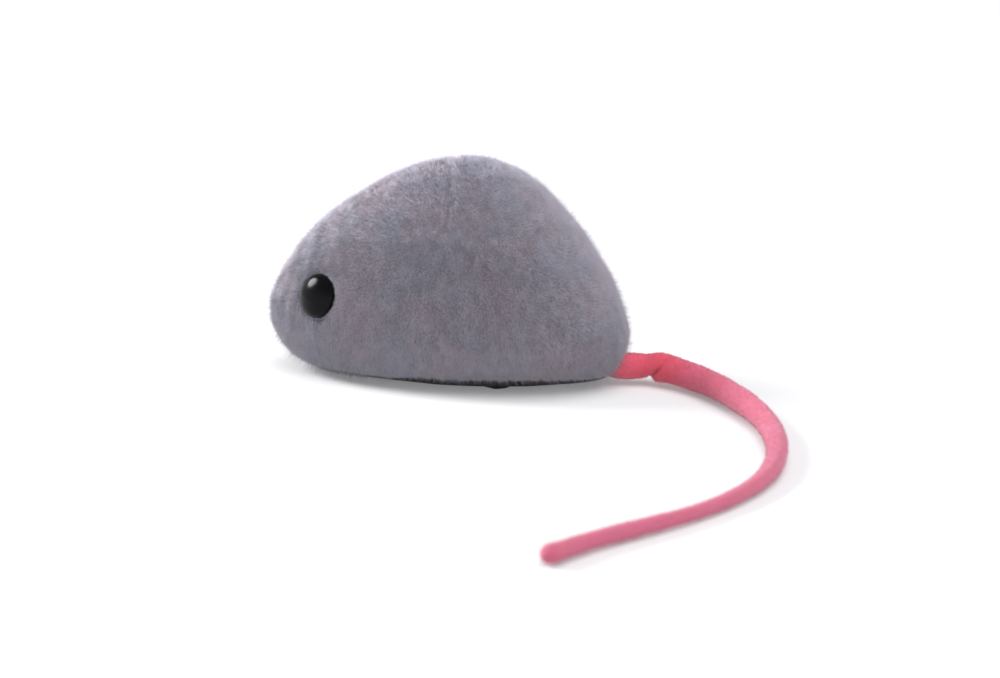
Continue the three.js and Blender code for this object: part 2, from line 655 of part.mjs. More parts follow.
function windingArbor() {
  const { r, hubR, clipR, y: [start, end], groove: [near, far] } = ARBOR;
  return turned([
    [0, start], [r, start], [r, near], [clipR, near], [clipR, far], [r, far],
    [r, -PLATE.inner + END_PLAY], [hubR, -PLATE.inner + END_PLAY],
    [hubR, GREAT.y[0] - END_PLAY], [r, GREAT.y[0] - END_PLAY],
    [r, RATCHET.y[1] + END_PLAY], [hubR, RATCHET.y[1] + END_PLAY],
    [hubR, PLATE.inner - END_PLAY], [r, PLATE.inner - END_PLAY],
    [r, end], [0, end],
  ]);
}

function arborClip() {
  const shape = new THREE.Shape();
  const { r, opening, y } = ARBOR_CLIP;
  shape.absarc(0, 0, r, opening, TURN - opening, false);
  shape.absarc(0, 0, ARBOR.clipR + PRESS, TURN - opening, opening, true);
  return plateY(shape, ...y);
}

function secondArbor() {
  const { r, pivotR, end } = SECOND_ARBOR;
  const inner = PLATE.inner - END_PLAY;
  return turned([
    [0, -end], [pivotR, -end], [pivotR, -inner], [r, -inner],
    [r, inner], [pivotR, inner], [pivotR, end], [0, end],
  ]);
}

// The strip's centreline: a spiral round the arbor, then a run out to a hook round the front upper pillar.
function springPath() {
  const { innerR, outerR, turns } = SPRING;
  const post = PILLARS.pillar_front_upper.at.clone().sub(GREAT_AT);
  const hookR = PILLARS.pillar_front_upper.r + SPRING.t / 2 + SPRING_HOOK.gap;
  const leave = bearing(CENTRE, post) - SPRING_HOOK.lead;
  const steps = Math.round(turns * SPRING.turnSteps);
  const path = Array.from({ length: steps + 1 }, (_, i) => {
    const t = i / steps;
    return polarPoint(innerR + (outerR - innerR) * t, leave - TURN * turns * (1 - t));
  });
  const toPost = bearing(path.at(-1), post);
  for (let i = 0; i <= SPRING_HOOK.steps; i++) {
    const angle = toPost - Math.PI / 2 + (i / SPRING_HOOK.steps) * SPRING_HOOK.sweep;
    path.push(polarPoint(hookR, angle).add(post));
  }
  return path;
}

function mainspring() {
  const path = springPath();
  const side = (sign) => path.map((p, i) => {
    const before = path[Math.max(i - 1, 0)];
    const after = path[Math.min(i + 1, path.length - 1)];
    const along = after.clone().sub(before).normalize();
    return new Vector2(p.x - sign * along.y * SPRING.t / 2, p.y + sign * along.x * SPRING.t / 2);
  });
  return plateY(new THREE.Shape([...side(1), ...side(-1).reverse()]), ...SPRING.y);
}

// ---------------------------------------------------------------- key, wheels, roller and screws

function windingKey() {
  const [near, far] = KEY.wingY;
  const r = (far - near) / 2;
  const middle = (near + far) / 2;
  const out = KEY.wingReach - r;
  const hub = turned([[0, KEY.y[0]], [KEY.hubR - KEY.chamfer, KEY.y[0]], [KEY.hubR, KEY.y[0] + KEY.chamfer],
    [KEY.hubR, KEY.y[1]], [0, KEY.y[1]]]);
  const wings = new THREE.Shape();
  wings.moveTo(-KEY.waist, near - KEY.foot);
  wings.lineTo(KEY.waist, near - KEY.foot);
  wings.absarc(out, middle, r, -KEY.wingArc, KEY.wingArc, false);
  wings.absarc(-out, middle, r, Math.PI - KEY.wingArc, Math.PI + KEY.wingArc, false);
  for (const side of [1, -1]) {
    wings.holes.push(new THREE.Path().absarc(side * (out + KEY.eyeletOut), middle, KEY.eyeletR, 0, TURN, true));
  }
  const flat = new THREE.ExtrudeGeometry(wings, { depth: KEY.t, bevelEnabled: false, curveSegments: 8 });
  const wing = toSolid(flat.translate(0, 0, -KEY.t / 2));
  return hub.add(wing).subtract(rodY(CENTRE, ARBOR.r + PRESS, 0, KEY.bore));
}

const driveAxle = () => rodY(CENTRE, AXLE.r, -AXLE.end, AXLE.end);

function driveWheel() {
  const { webT, webR, hubR, rimR, grooveR, face: [inner, outer] } = WHEEL;
  const wall = (outer - inner - WHEEL.tyreW) / 2 - PRESS;
  const bore = AXLE.r + PRESS;
  const hubStart = PLATE_OUT + AXLE.sidePlay;
  const webIn = (inner + outer - webT) / 2;
  const webOut = webIn + webT;
  return turned([
    [bore, hubStart], [hubR, hubStart], [hubR, webIn], [webR, webIn], [webR, inner],
    [rimR, inner], [rimR, inner + wall], [grooveR, inner + wall], [grooveR, outer - wall],
    [rimR, outer - wall], [rimR, outer], [webR, outer], [webR, webOut], [hubR, webOut],
    [hubR, outer], [bore, outer], [bore, hubStart],
  ], WHEEL.sides);
}

function tyre() {
  const middle = (WHEEL.face[0] + WHEEL.face[1]) / 2;
  const half = WHEEL.tyreW / 2;
  const bore = WHEEL.grooveR + PRESS;
  const [down, across] = WHEEL.treadEdge;
  return turned([
    [bore, middle - half], [WHEEL.r - down, middle - half], [WHEEL.r, middle - half + across],
    [WHEEL.r, middle + half - across], [WHEEL.r - down, middle + half], [bore, middle + half],
    [bore, middle - half],
  ], WHEEL.sides);
}

function noseRoller() {
  const bore = ROLLER.pinR + RUN;
  const { r, halfW: w, edge } = ROLLER;
  return turned([
    [bore, -w], [r - edge, -w], [r, -w + edge], [r, w - edge], [r - edge, w], [bore, w], [bore, -w],
  ], 16);
}

const rollerPin = () => rodY(CENTRE, ROLLER.pinR, -ROLLER.pinEnd, ROLLER.pinEnd);

// A cross-head screw driven upwards, its head face at the origin. The Y axis of the profile is up.
function screw(length) {
  const { r, headR, headT, headEdge, pointL, pointR, crossHalf, crossT, crossDepth } = SCREW;
  const body = turned([
    [0, 0], [headR - headEdge, 0], [headR, headEdge], [headR, headT], [r, headT],
    [r, length - pointL], [pointR, length], [0, length],
  ]);
  const slot = (x, z) => block([-x, x], [-CUT_OVER, crossDepth], [-z, z]);
  const cut = without(body, [slot(crossHalf, crossT / 2), slot(crossT / 2, crossHalf)]);
  return toSolid(toGeometry(cut).rotateX(Math.PI / 2));
}

// ---------------------------------------------------------------- assembly

const mouse = new THREE.Group();
const placed = (name, solid, look, x = 0, y = 0, z = 0) => {
  const mesh = new THREE.Mesh(toGeometry(solid), look);
  mesh.name = name;
  mesh.position.set(x, y, z);
  mouse.add(mesh);
  return mesh;
};
const onArbor = (name, solid, look, at) => placed(name, solid, look, at.x, 0, at.y);

placed('plush_cover', plushCover(), MATERIAL.plush);
placed('body_shell', bodyShell(), MATERIAL.shell);
placed('base_plate', basePlate(), MATERIAL.blackPlastic);
for (const side of Object.keys(eyeSides)) {
  placed(`eye_${side}`, stood(eye(), ...eyeSeat(side)), MATERIAL.eye);
  placed(`eye_washer_${side}`, stood(eyeWasher(), ...eyeSeat(side)), MATERIAL.nylon);
}
placed('tail_root', tailRoot(), MATERIAL.tail);
placed('tail_free', tailFree(), MATERIAL.tail);
placed('tail_ferrule', ferrule(), MATERIAL.brass);

placed('motor_plate_left', motorPlate(-1), MATERIAL.steel);
placed('motor_plate_right', motorPlate(1), MATERIAL.steel);
for (const [name, spec] of Object.entries(PILLARS)) {
  onArbor(name, name.endsWith('lower') ? lowerPillar(spec) : pillar(spec), MATERIAL.steel, spec.at);
}

onArbor('winding_arbor', windingArbor(), MATERIAL.steel, GREAT_AT);
onArbor('arbor_clip', arborClip(), MATERIAL.springSteel, GREAT_AT);
onArbor('ratchet_wheel', ratchetWheel(), MATERIAL.steel, GREAT_AT);
onArbor('winding_key', windingKey(), MATERIAL.steel, GREAT_AT);
onArbor('mainspring', mainspring(), MATERIAL.springSteel, GREAT_AT);
onArbor('great_wheel', greatWheel(), MATERIAL.brass, GREAT_AT);
onArbor('click', click(), MATERIAL.springSteel, GREAT_AT);
onArbor('click_rivet', clickRivet(), MATERIAL.steel, GREAT_AT.clone().add(clickPivot));

onArbor('second_arbor', secondArbor(), MATERIAL.steel, SECOND_AT);
onArbor('second_pinion', gear(SECOND_PINION, SECOND_ARBOR.r + PRESS, gapFacing(toSecond, SECOND_PINION)),
  MATERIAL.brass, SECOND_AT);
onArbor('second_wheel', gear(SECOND_WHEEL, SECOND_ARBOR.r + PRESS, toAxle), MATERIAL.brass, SECOND_AT);

onArbor('drive_axle', driveAxle(), MATERIAL.steel, AXLE_AT);
onArbor('axle_pinion', gear(AXLE_PINION, AXLE.r + PRESS, gapFacing(toAxle, AXLE_PINION)),
  MATERIAL.brass, AXLE_AT);
for (const [side, sign] of Object.entries(eyeSides)) {
  for (const [name, solid, look] of [
    ['drive_wheel', driveWheel(), MATERIAL.blackPlastic],
    ['tyre', tyre(), MATERIAL.rubber],
  ]) {
    const mesh = onArbor(`${name}_${side}`, solid, look, AXLE_AT);
    if (sign < 0) mesh.rotation.z = Math.PI;
  }
}

placed('nose_roller', noseRoller(), MATERIAL.blackPlastic, ROLLER.x, 0, ROLLER.z);
placed('roller_pin', rollerPin(), MATERIAL.steel, ROLLER.x, 0, ROLLER.z);

for (const [name, at] of Object.entries(BASE_SCREWS)) {
  placed(name, screw(BOSS.screwTop - SCREW.seatZ), MATERIAL.steel, at.x, at.y, SCREW.seatZ);
}
for (const [name, at] of Object.entries(MOTOR_SCREWS)) {
  placed(name, screw(MOTOR_SCREW_L), MATERIAL.steel, at.x, at.y, SCREW.seatZ);
}

export default mouse;
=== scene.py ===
import json
import math

import bmesh
import bpy
import numpy as np
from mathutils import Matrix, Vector, noise
from mathutils.bvhtree import BVHTree
from mathutils.kdtree import KDTree


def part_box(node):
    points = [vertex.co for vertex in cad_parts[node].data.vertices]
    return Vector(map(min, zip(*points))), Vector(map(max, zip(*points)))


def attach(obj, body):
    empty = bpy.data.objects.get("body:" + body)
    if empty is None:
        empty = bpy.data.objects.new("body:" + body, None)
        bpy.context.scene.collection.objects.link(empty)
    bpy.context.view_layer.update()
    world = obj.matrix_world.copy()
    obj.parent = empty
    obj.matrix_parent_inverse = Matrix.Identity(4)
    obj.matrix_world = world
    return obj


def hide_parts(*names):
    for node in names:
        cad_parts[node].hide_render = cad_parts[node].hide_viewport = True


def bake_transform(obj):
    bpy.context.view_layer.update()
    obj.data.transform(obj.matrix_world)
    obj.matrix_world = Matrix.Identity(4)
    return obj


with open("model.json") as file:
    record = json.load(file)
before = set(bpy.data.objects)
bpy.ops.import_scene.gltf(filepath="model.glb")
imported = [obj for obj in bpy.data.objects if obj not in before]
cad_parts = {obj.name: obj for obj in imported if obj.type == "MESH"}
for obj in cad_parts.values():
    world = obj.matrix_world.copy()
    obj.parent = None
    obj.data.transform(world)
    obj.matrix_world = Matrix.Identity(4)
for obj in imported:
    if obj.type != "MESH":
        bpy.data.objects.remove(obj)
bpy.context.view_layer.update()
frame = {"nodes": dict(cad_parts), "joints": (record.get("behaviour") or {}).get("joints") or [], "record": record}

MM = 0.001
RNG_SEED = 7
SIDES = ("left", "right")
# A fibre is a spike: three corners round its root, and its tip.
CORNERS_OF_SPIKE = 4

# The camera looks at a point just behind and below the middle of the body. Angles are in degrees.
CAMERA = {"azimuth": 14, "elevation": 14, "distance": 420 * MM, "lens": 78.75, "sensor": 36, "f_stop": 22,
          "aim": Vector((10.8, -0.5, 6.5)) * MM, "nearest": 0.01, "furthest": 50}

# Plush: a skin that the pile stands on. The pile's tips reach the CAD cover's surface.
# "smooth" and "settle" are rounds of smoothing, before and after the mesh is laid back on the cover.
SKIN = {"voxel": 0.8 * MM, "depth": 0.1 * MM, "smooth": 10, "settle": 4}
CLOTH = {"scale": 10, "frames": 20, "pressure": 2.0, "cap": 0.4 * MM, "quality": 6, "mass": 0.2,
         "stretch": 18, "shear": 6, "bending": 1.5, "pin_steps": 4}
# The cloth is held where sewing pulls it in this deep, and in a band above the hem that fades out.
HELD = {"depth": 0.5 * MM, "above_hem": 0.6 * MM, "fade": 1.0 * MM}
# Depth and breadth of the skin's shallow puckers, and where each layer's noise starts.
PUCKERS = ((0.16 * MM, 5 * MM, 3.1), (0.07 * MM, 1.6 * MM, 8.4))
# The underside is open inside the hem, where it faces down below the top of the base.
OPENING = {"hem_inset": 0.8 * MM, "facing": -0.8, "arbor": 1.75 * MM}
# The hem's height is read at this many places, from the points this near to each.
HEM = {"places": 24, "reach": 2.5 * MM}
# A seam runs over the crown and a little way down each flank.
DART = {"x": 1.2 * MM, "slant": 0.19, "low": 27 * MM, "fade": 6 * MM, "width": 0.5 * MM, "depth": 0.9 * MM}
# How far the seam sways to each side, and over what height.
DART_SWAYS = ((0.25 * MM, 2.1 * MM), (0.12 * MM, 0.9 * MM))
# The skin dips round each eye, from this share of the eye's radius outwards.
EYE_DIMPLE = {"depth": 0.55 * MM, "reach": 1.2 * MM, "from": 0.85}
# A short tuck runs down from each eye.
TUCK = {"start": 4.3 * MM, "end": 6.6 * MM, "fade": 0.8 * MM, "width": 0.35 * MM, "depth": 0.45 * MM,
        "shift": 0.25 * MM, "reach": 4 * MM}
# The hem's painted shade fades out between these shares of the scale's height.
HEM_PAINTED_SHADE = {"scale": 2 * MM, "low": 0.3, "high": 0.62}

# The pile leans down and back, by degrees from upright. "root" is a fibre's radius at its root, and "shared"
# is how much more the skin's direction counts in shading than the fibre's own.
PILE = {"count": 330000, "length": 0.9 * MM, "root": 0.04 * MM, "lean": 38, "sunk": 0.12 * MM, "shared": 2.0,
        "nap": (0.45, 0.0, -0.9), "shortest": 0.35 * MM, "longest": 1.4 * MM}
# No pile grows where the skin faces down near the floor, or under the eyes.
BARE = {"facing": -0.86, "height": 4 * MM, "eye": 0.93}
# Breadth of the noise that moves fibres together, and where it starts. It is drawn out in height.
CLUMP = (1.7 * MM, 1.3)
SWIRL = (2.6 * MM, 5.2)
TUFT = (0.8 * MM, 9.7)
DRAWN_OUT = (1, 1, 0.5)
# How much clumps, tufts, swirls and chance change the fibres' lean, direction and length. A fibre's width
# is at least the first share of the root's, with up to the second share added.
LEAN_SPREAD = {"clump": 18, "tuft": 10, "fibre": 8}
TURN_SPREAD = {"swirl": 0.4, "fibre": 0.2}
LENGTH_SPREAD = {"clump": 0.18, "fibre": 0.12, "at_seam": 0.5}
WIDTH_SPREAD = (0.8, 0.4)
# Round an eye the pile is combed towards it.
COMBED = {"share": 2.2, "reach": 0.6 * MM}
# A few finer hairs stand straighter and longer than the rest, and soften the outline, but not near an eye.
STRAY = {"share": 0.25, "length": (1.1, 3.0), "lean": 0.35, "width": 0.5, "eye_gap": 2 * MM}

# The bead eye: shares of its radius, and depths behind its rim. "side" is how near to the eye, along its
# axis, the body's surface counts as beside it.
EYE = {"rim": 0.97, "stem": 0.27, "stem_depth": 5 * MM, "back": 0.9, "back_depth": 0.9 * MM,
       "edge_depth": 0.45 * MM, "dome_steps": 22, "dome_power": 0.96, "segments": 64, "side": 6 * MM}

# The cord's colour, its own tone with painted shade at the kink, changes along a stretch measured from the kink.
# "smooth" is rounds of smoothing.
TAIL = {"step": 0.5 * MM, "sides": 32, "sag": 1.3 * MM, "sag_at": -8.5 * MM, "sag_reach": 5 * MM,
        "tint_and_shade": (-10 * MM, 60 * MM), "flatter_below": 0.08, "clearance": 0.03 * MM, "tip": 0.05 * MM,
        "least_tip": 0.0025, "smooth": 3}
# Share of the cord's radius, length and phase of its lumps.
LUMPS = ((0.02, 3.1 * MM, 0), (0.012, 1.3 * MM, 1))
# The felt's fuzz. It stands less at the root, where the cord leaves the rump. A spread is the least share of
# a length or width, and how much is added to it.
FUZZ = {"count": 26000, "length": 0.34 * MM, "root": 0.035 * MM, "sunk": 0.05 * MM, "tangle": 0.75,
        "lift": 0.15, "nap": 0.4 * MM, "root_nap": 0.05 * MM, "nap_grows": 8 * MM, "floor_gap": 0.4 * MM,
        "length_spread": (0.6, 0.8), "width_spread": (0.7, 0.6)}
# The fold runs slantwise over the cord, from its inside behind to its outside in front, with a raised lip.
KINK = {"depth": 1.1 * MM, "width": 0.7 * MM, "past": 1.0 * MM, "slant": 2.3 * MM, "outside": 0.35,
        "lip": 0.15 * MM, "lip_at": 1.5 * MM, "lip_width": 1.1 * MM, "fades_upwards": (0.75, 0.7),
        "back": 2.2 * MM, "ahead": 2.2 * MM}
# How the CAD cord is followed: strides, the reach of a cut, and when a cut is past the cord's end.
FOLLOW = {"stride": 2.5 * MM, "root_stride": 1.5 * MM, "reach": 5 * MM, "most": 200, "thinner": 0.85,
          "fewest": 6, "end_depth": 1.5 * MM, "from_end": 0.6 * MM, "root_heading": (1, 0, -0.15),
          "ahead": (4 * MM, 8 * MM), "from_kink": 3.2 * MM, "short_of_tip": 0.2 * MM,
          "least_to_tip": 0.3 * MM}

# Lights: angles in degrees, distances and sizes in metres.
KEY_LIGHT = {"azimuth": -90, "elevation": 32, "distance": 0.9, "size": 0.4, "power": 10.0}
FILL_LIGHT = {"azimuth": 60, "elevation": 35, "distance": 1.1, "size": 0.7, "power": 1.2}
OVERHEAD_LIGHT = {"azimuth": 45, "elevation": 70, "distance": 1.0, "spread": 60, "power": 2.7}
STUDIO = {"strength": 1.15, "horizon": (0.12, (1.0, 1.0, 1.02)), "ceiling": (0.55, (0.35, 0.35, 0.37))}
FLOOR = {"half": 6.0, "glow": 0.2, "speck": 30 * MM,
         "dark": (0.53, 0.53, 0.532), "light": (0.55, 0.55, 0.552)}

# CAD nodes: points this near are one, and edges sharper than the crease are rounded this much.
BROKEN_EDGE = {"weld": 0.002 * MM, "width": 0.07 * MM, "segments": 2, "crease": math.radians(35),
               "face_weight": 80}


# ---------------------------------------------------------------- reading the frame

def node_points(name):
    mesh = frame["nodes"][name].data
    co = np.empty(len(mesh.vertices) * 3, np.float32)
    mesh.vertices.foreach_get("co", co)
    return co.reshape(-1, 3).astype(float)


def node_edges(name):
    mesh = frame["nodes"][name].data
    ends = np.empty(len(mesh.edges) * 2, np.int32)
    mesh.edges.foreach_get("vertices", ends)
    return ends.reshape(-1, 2)


def joint(name):
    return next(j for j in frame["joints"] if j["name"] == name)


def floor_height():
    low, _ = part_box("tyre_left")
    return low.z


def body_middle():
    low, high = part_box("plush_cover")
    return np.array((low + high) / 2)


def along_and_around(points, centre, axis):
    """Each point's distance along an axis from its centre, and its distance from the axis."""
    offsets = points - centre
    along = offsets @ axis
    return along, np.linalg.norm(offsets - along[:, None] * axis, axis=1)


def axis_of_turned(name, inside):
    """Centre and axis of a node that is a solid of revolution. The axis points away from inside."""
    points = np.unique(node_points(name).round(7), axis=0)
    centre = points.mean(0)
    values, vectors = np.linalg.eigh(np.cov((points - centre).T))
    odd = int(np.argmax([abs(values[i] - np.delete(values, i).mean()) for i in range(3)]))
    axis = vectors[:, odd]
    if axis @ (centre - inside) < 0:
        axis = -axis
    return centre, axis


# ---------------------------------------------------------------- mesh helpers

def link(obj):
    bpy.context.scene.collection.objects.link(obj)
    return obj


def mesh_object(name, vertices, triangles=None, quads=None, smooth=True):
    """An object from arrays of vertices, triangles and quads."""
    mesh = bpy.data.meshes.new(name)
    faces = [f for f in (triangles, quads) if f is not None and len(f)]
    sizes = np.concatenate([np.full(len(f), f.shape[1]) for f in faces])
    loops = np.concatenate([f.ravel() for f in faces])
    mesh.vertices.add(len(vertices))
    mesh.vertices.foreach_set("co", np.asarray(vertices, np.float32).ravel())
    mesh.loops.add(len(loops))
    mesh.loops.foreach_set("vertex_index", loops.astype(np.int32))
    mesh.polygons.add(len(sizes))
    starts = np.concatenate([[0], np.cumsum(sizes)[:-1]])
    mesh.polygons.foreach_set("loop_start", starts.astype(np.int32))
    mesh.update(calc_edges=True)
    mesh.validate()
    mesh.polygons.foreach_set("use_smooth", np.full(len(sizes), smooth))
    return link(bpy.data.objects.new(name, mesh))


def shade_smooth(obj):
    obj.data.polygons.foreach_set("use_smooth", np.full(len(obj.data.polygons), True))


def points_of(obj):
    co = np.empty(len(obj.data.vertices) * 3, np.float32)
    obj.data.vertices.foreach_get("co", co)
    return co.reshape(-1, 3).astype(float)


def set_points(obj, points):
    obj.data.vertices.foreach_set("co", points.astype(np.float32).ravel())
    obj.data.update()


def normals_of(obj):
    n = np.empty(len(obj.data.vertices) * 3, np.float32)
    obj.data.vertex_normals.foreach_get("vector", n)
    return n.reshape(-1, 3).astype(float)


def applied(obj):
    """Replaces the object's mesh with its evaluated mesh, leaving no modifier."""
    graph = bpy.context.evaluated_depsgraph_get()
    mesh = bpy.data.meshes.new_from_object(obj.evaluated_get(graph), depsgraph=graph)
    obj.modifiers.clear()
    obj.data = mesh
    return obj


def relaxed(points, edges, rounds):
    """Laplacian smoothing: in each round, each point moves half way to its neighbours' middle."""
    count = np.bincount(edges.ravel(), minlength=len(points))[:, None]
    for _ in range(rounds):
        total = np.zeros_like(points)
        for k in range(3):
            total[:, k] = np.bincount(edges[:, 0], points[edges[:, 1], k], len(points))
            total[:, k] += np.bincount(edges[:, 1], points[edges[:, 0], k], len(points))
        points = points + (total / count - points) * 0.5
    return points


def edges_of(obj):
    ends = np.empty(len(obj.data.edges) * 2, np.int32)
    obj.data.edges.foreach_get("vertices", ends)
    return ends.reshape(-1, 2)


def smoothstep(t):
    """0 up to t = 0, 1 from t = 1, and smooth between."""
    t = np.clip(t, 0, 1)
    return t * t * (3 - 2 * t)


def unit(v):
    return v / np.linalg.norm(v, axis=-1, keepdims=True)


def length_along(curve):
    """Distance travelled along a curve of points, at each of them."""
    return np.concatenate([[0], np.cumsum(np.linalg.norm(np.diff(curve, axis=0), axis=1))])


def spikes(roots, directions, lengths, root_r):
    """Closed three-sided fibres: vertices, triangles and each vertex's outward direction."""
    n = len(roots)
    upright = np.abs(directions[:, 2:]) >= 0.9
    helper = np.where(upright, [[1.0, 0.0, 0.0]], [[0.0, 0.0, 1.0]])
    side = unit(np.cross(directions, helper))
    other = np.cross(directions, side)
    ring = [
        roots + root_r[:, None] * (side * math.cos(a) + other * math.sin(a))
        for a in (0, 2 * math.pi / 3, 4 * math.pi / 3)
    ]
    tips = roots + directions * lengths[:, None]
    vertices = np.stack([*ring, tips], 1).reshape(-1, 3)
    outward = np.stack([*(unit(corner - roots) for corner in ring), directions], 1).reshape(-1, 3)
    faces = np.array([[0, 1, 3], [1, 2, 3], [2, 0, 3], [2, 1, 0]])
    triangles = (np.arange(n)[:, None, None] * CORNERS_OF_SPIKE + faces).reshape(-1, 3)
    return vertices, triangles, outward


def field(points, scale, offset=0.0):
    """Smooth noise from -1 to 1 at each point, with features about scale metres across."""
    shift = Vector((offset, offset * 1.7, -offset))
    return np.array([noise.noise(Vector(p) / scale + shift) for p in points])


# ---------------------------------------------------------------- materials

def new_material(name, **values):
    material = bpy.data.materials.new(name)
    material.use_nodes = True
    shader = material.node_tree.nodes["Principled BSDF"]
    for socket, value in values.items():
        shader.inputs[socket.replace("_", " ")].default_value = value
    return material, material.node_tree, shader


def rgb(r, g, b):
    return (r, g, b, 1.0)


def grey(value):
    return rgb(value, value, value)


def node(tree, kind, **settings):
    made = tree.nodes.new(kind)
    for key, value in settings.items():
        if hasattr(made, key):
            setattr(made, key, value)
        else:
            made.inputs[key.replace("_", " ")].default_value = value
    return made


def object_coordinates(tree, stretch=(1, 1, 1)):
    where = node(tree, "ShaderNodeTexCoord")
    mapping = node(tree, "ShaderNodeMapping")
    mapping.inputs["Scale"].default_value = stretch
    tree.links.new(where.outputs["Object"], mapping.inputs["Vector"])
    return mapping.outputs["Vector"]


def noise_of(tree, vector, size, detail=3.0, roughness=0.55):
    """Noise whose features are about size metres across."""
    made = node(tree, "ShaderNodeTexNoise", Scale=1 / size, Detail=detail, Roughness=roughness)
    tree.links.new(vector, made.inputs["Vector"])
    return made.outputs["Fac"]


def ramp(tree, value, *stops):
    """A colour ramp through (position, colour) stops."""
    made = tree.nodes.new("ShaderNodeValToRGB")
    elements = made.color_ramp.elements
    while len(elements) < len(stops):
        elements.new(0.5)
    for element, (position, colour) in zip(elements, stops):
        element.position, element.color = position, colour
    tree.links.new(value, made.inputs["Fac"])
    return made.outputs["Color"]


def multiplied(tree, a, b):
    """The product of two colours. A mix node keeps its colours at inputs 6 and 7, and at output 2."""
    made = node(tree, "ShaderNodeMix", data_type="RGBA", blend_type="MULTIPLY")
    made.inputs["Factor"].default_value = 1.0
    tree.links.new(a, made.inputs[6])
    tree.links.new(b, made.inputs[7])
    return made.outputs[2]


def separated(tree, vector):
    """The x, y and z of a vector, as outputs X, Y and Z."""
    made = node(tree, "ShaderNodeSeparateXYZ")
    tree.links.new(vector, made.inputs["Vector"])
    return made.outputs


def bumped(tree, shader, height, strength, distance):
    bump = node(tree, "ShaderNodeBump", Strength=strength, Distance=distance)
    tree.links.new(height, bump.inputs["Height"])
    tree.links.new(bump.outputs["Normal"], shader.inputs["Normal"])


def plush_material(name, dark, light, sheen):
    """Grey velvet in faint streaks and patches, with painted top light making it paler where it faces up, a
    painted rim light at its outline, and painted shade along the hem.
    """
    material, tree, shader = new_material(name, Roughness=0.95, Sheen_Weight=sheen, Sheen_Roughness=0.45)
    shader.inputs["Sheen Tint"].default_value = rgb(0.80, 0.79, 0.86)
    shader.inputs["Specular IOR Level"].default_value = 0.15
    streaks = noise_of(tree, object_coordinates(tree, (1, 1, 0.45)), 1.6 * MM, 3, 0.6)
    patches = noise_of(tree, object_coordinates(tree), 9 * MM, 2)
    colour = ramp(tree, streaks, (0.3, dark), (0.7, light))
    cool, warm = rgb(0.90, 0.93, 1.0), rgb(1.0, 0.93, 0.96)
    colour = multiplied(tree, colour, ramp(tree, patches, (0.35, cool), (0.65, warm)))
    # Painted top light: the plush is painted darker where it faces sideways or down and paler where it faces up.
    normal = node(tree, "ShaderNodeNewGeometry").outputs["Normal"]
    painted_top_light = ramp(tree, separated(tree, normal)["Z"], (0.3, grey(0.67)), (0.9, grey(1.0)))
    colour = multiplied(tree, colour, painted_top_light)
    # Painted rim light: the plush is painted darker where it faces the camera and paler towards its outline.
    edge = node(tree, "ShaderNodeLayerWeight", Blend=0.5)
    outline = ramp(tree, edge.outputs["Facing"], (0.6, grey(0.8)), (0.95, grey(1.0)))
    colour = multiplied(tree, colour, outline)
    # Painted shade: the hem is painted dark where it sags close to the floor, standing in for the shade under the
    # body.
    height = separated(tree, object_coordinates(tree, (1 / HEM_PAINTED_SHADE["scale"],) * 3))["Z"]
    painted_hem_shade = ramp(tree, height, (HEM_PAINTED_SHADE["low"], rgb(0.1, 0.1, 0.11)), (HEM_PAINTED_SHADE["high"], grey(1.0)))
    tree.links.new(multiplied(tree, colour, painted_hem_shade), shader.inputs["Base Color"])
    return material


def felt_material():
    """Pink felt with a fine grain. It is painted a deeper red at the kink, as shade in the fold, and is pinker
    towards the widest bend.
    """
    material, tree, shader = new_material("tail_felt", Roughness=0.9, Sheen_Weight=0.35, Sheen_Roughness=0.5)
    shader.inputs["Sheen Tint"].default_value = rgb(0.95, 0.75, 0.82)
    shader.inputs["Subsurface Weight"].default_value = 0.12
    shader.inputs["Subsurface Radius"].default_value = (1.2 * MM, 0.5 * MM, 0.5 * MM)
    shader.inputs["Subsurface Scale"].default_value = 1.0
    fine = noise_of(tree, object_coordinates(tree), 0.7 * MM, 4, 0.7)
    broad = noise_of(tree, object_coordinates(tree), 14 * MM, 2)
    grain = ramp(tree, fine, (0.3, rgb(0.84, 0.82, 0.8)), (0.7, grey(1.0)))
    tint = ramp(tree, broad, (0.3, rgb(1.0, 0.9, 0.88)), (0.7, grey(1.0)))
    lengthwise = node(tree, "ShaderNodeAttribute", attribute_name="lengthwise")
    # The kink's deeper red is painted shade in the fold.
    rump, kink = rgb(0.66, 0.105, 0.17), rgb(0.62, 0.07, 0.11)
    past_kink, bend = rgb(0.57, 0.108, 0.183), rgb(0.5, 0.116, 0.197)
    colour = ramp(tree, lengthwise.outputs["Fac"],
                  (0.05, rump), (0.16, kink), (0.32, past_kink), (0.8, bend))
    colour = multiplied(tree, colour, grain)
    tree.links.new(multiplied(tree, colour, tint), shader.inputs["Base Color"])
    bumped(tree, shader, fine, 0.4, 0.1 * MM)
    return material


def eye_material():
    """Glossy black with faint scuffs."""
    material, tree, shader = new_material("eye", Roughness=0.1)
    shader.inputs["Specular IOR Level"].default_value = 0.1
    depth = noise_of(tree, object_coordinates(tree), 3 * MM, 2)
    colour = ramp(tree, depth, (0.3, rgb(0.001, 0.001, 0.0015)), (0.7, rgb(0.003, 0.0025, 0.0035)))
    tree.links.new(colour, shader.inputs["Base Color"])
    scuff = noise_of(tree, object_coordinates(tree), 0.4 * MM, 5, 0.7)
    tree.links.new(ramp(tree, scuff, (0.5, grey(0.18)), (0.8, grey(0.23))), shader.inputs["Roughness"])
    return material


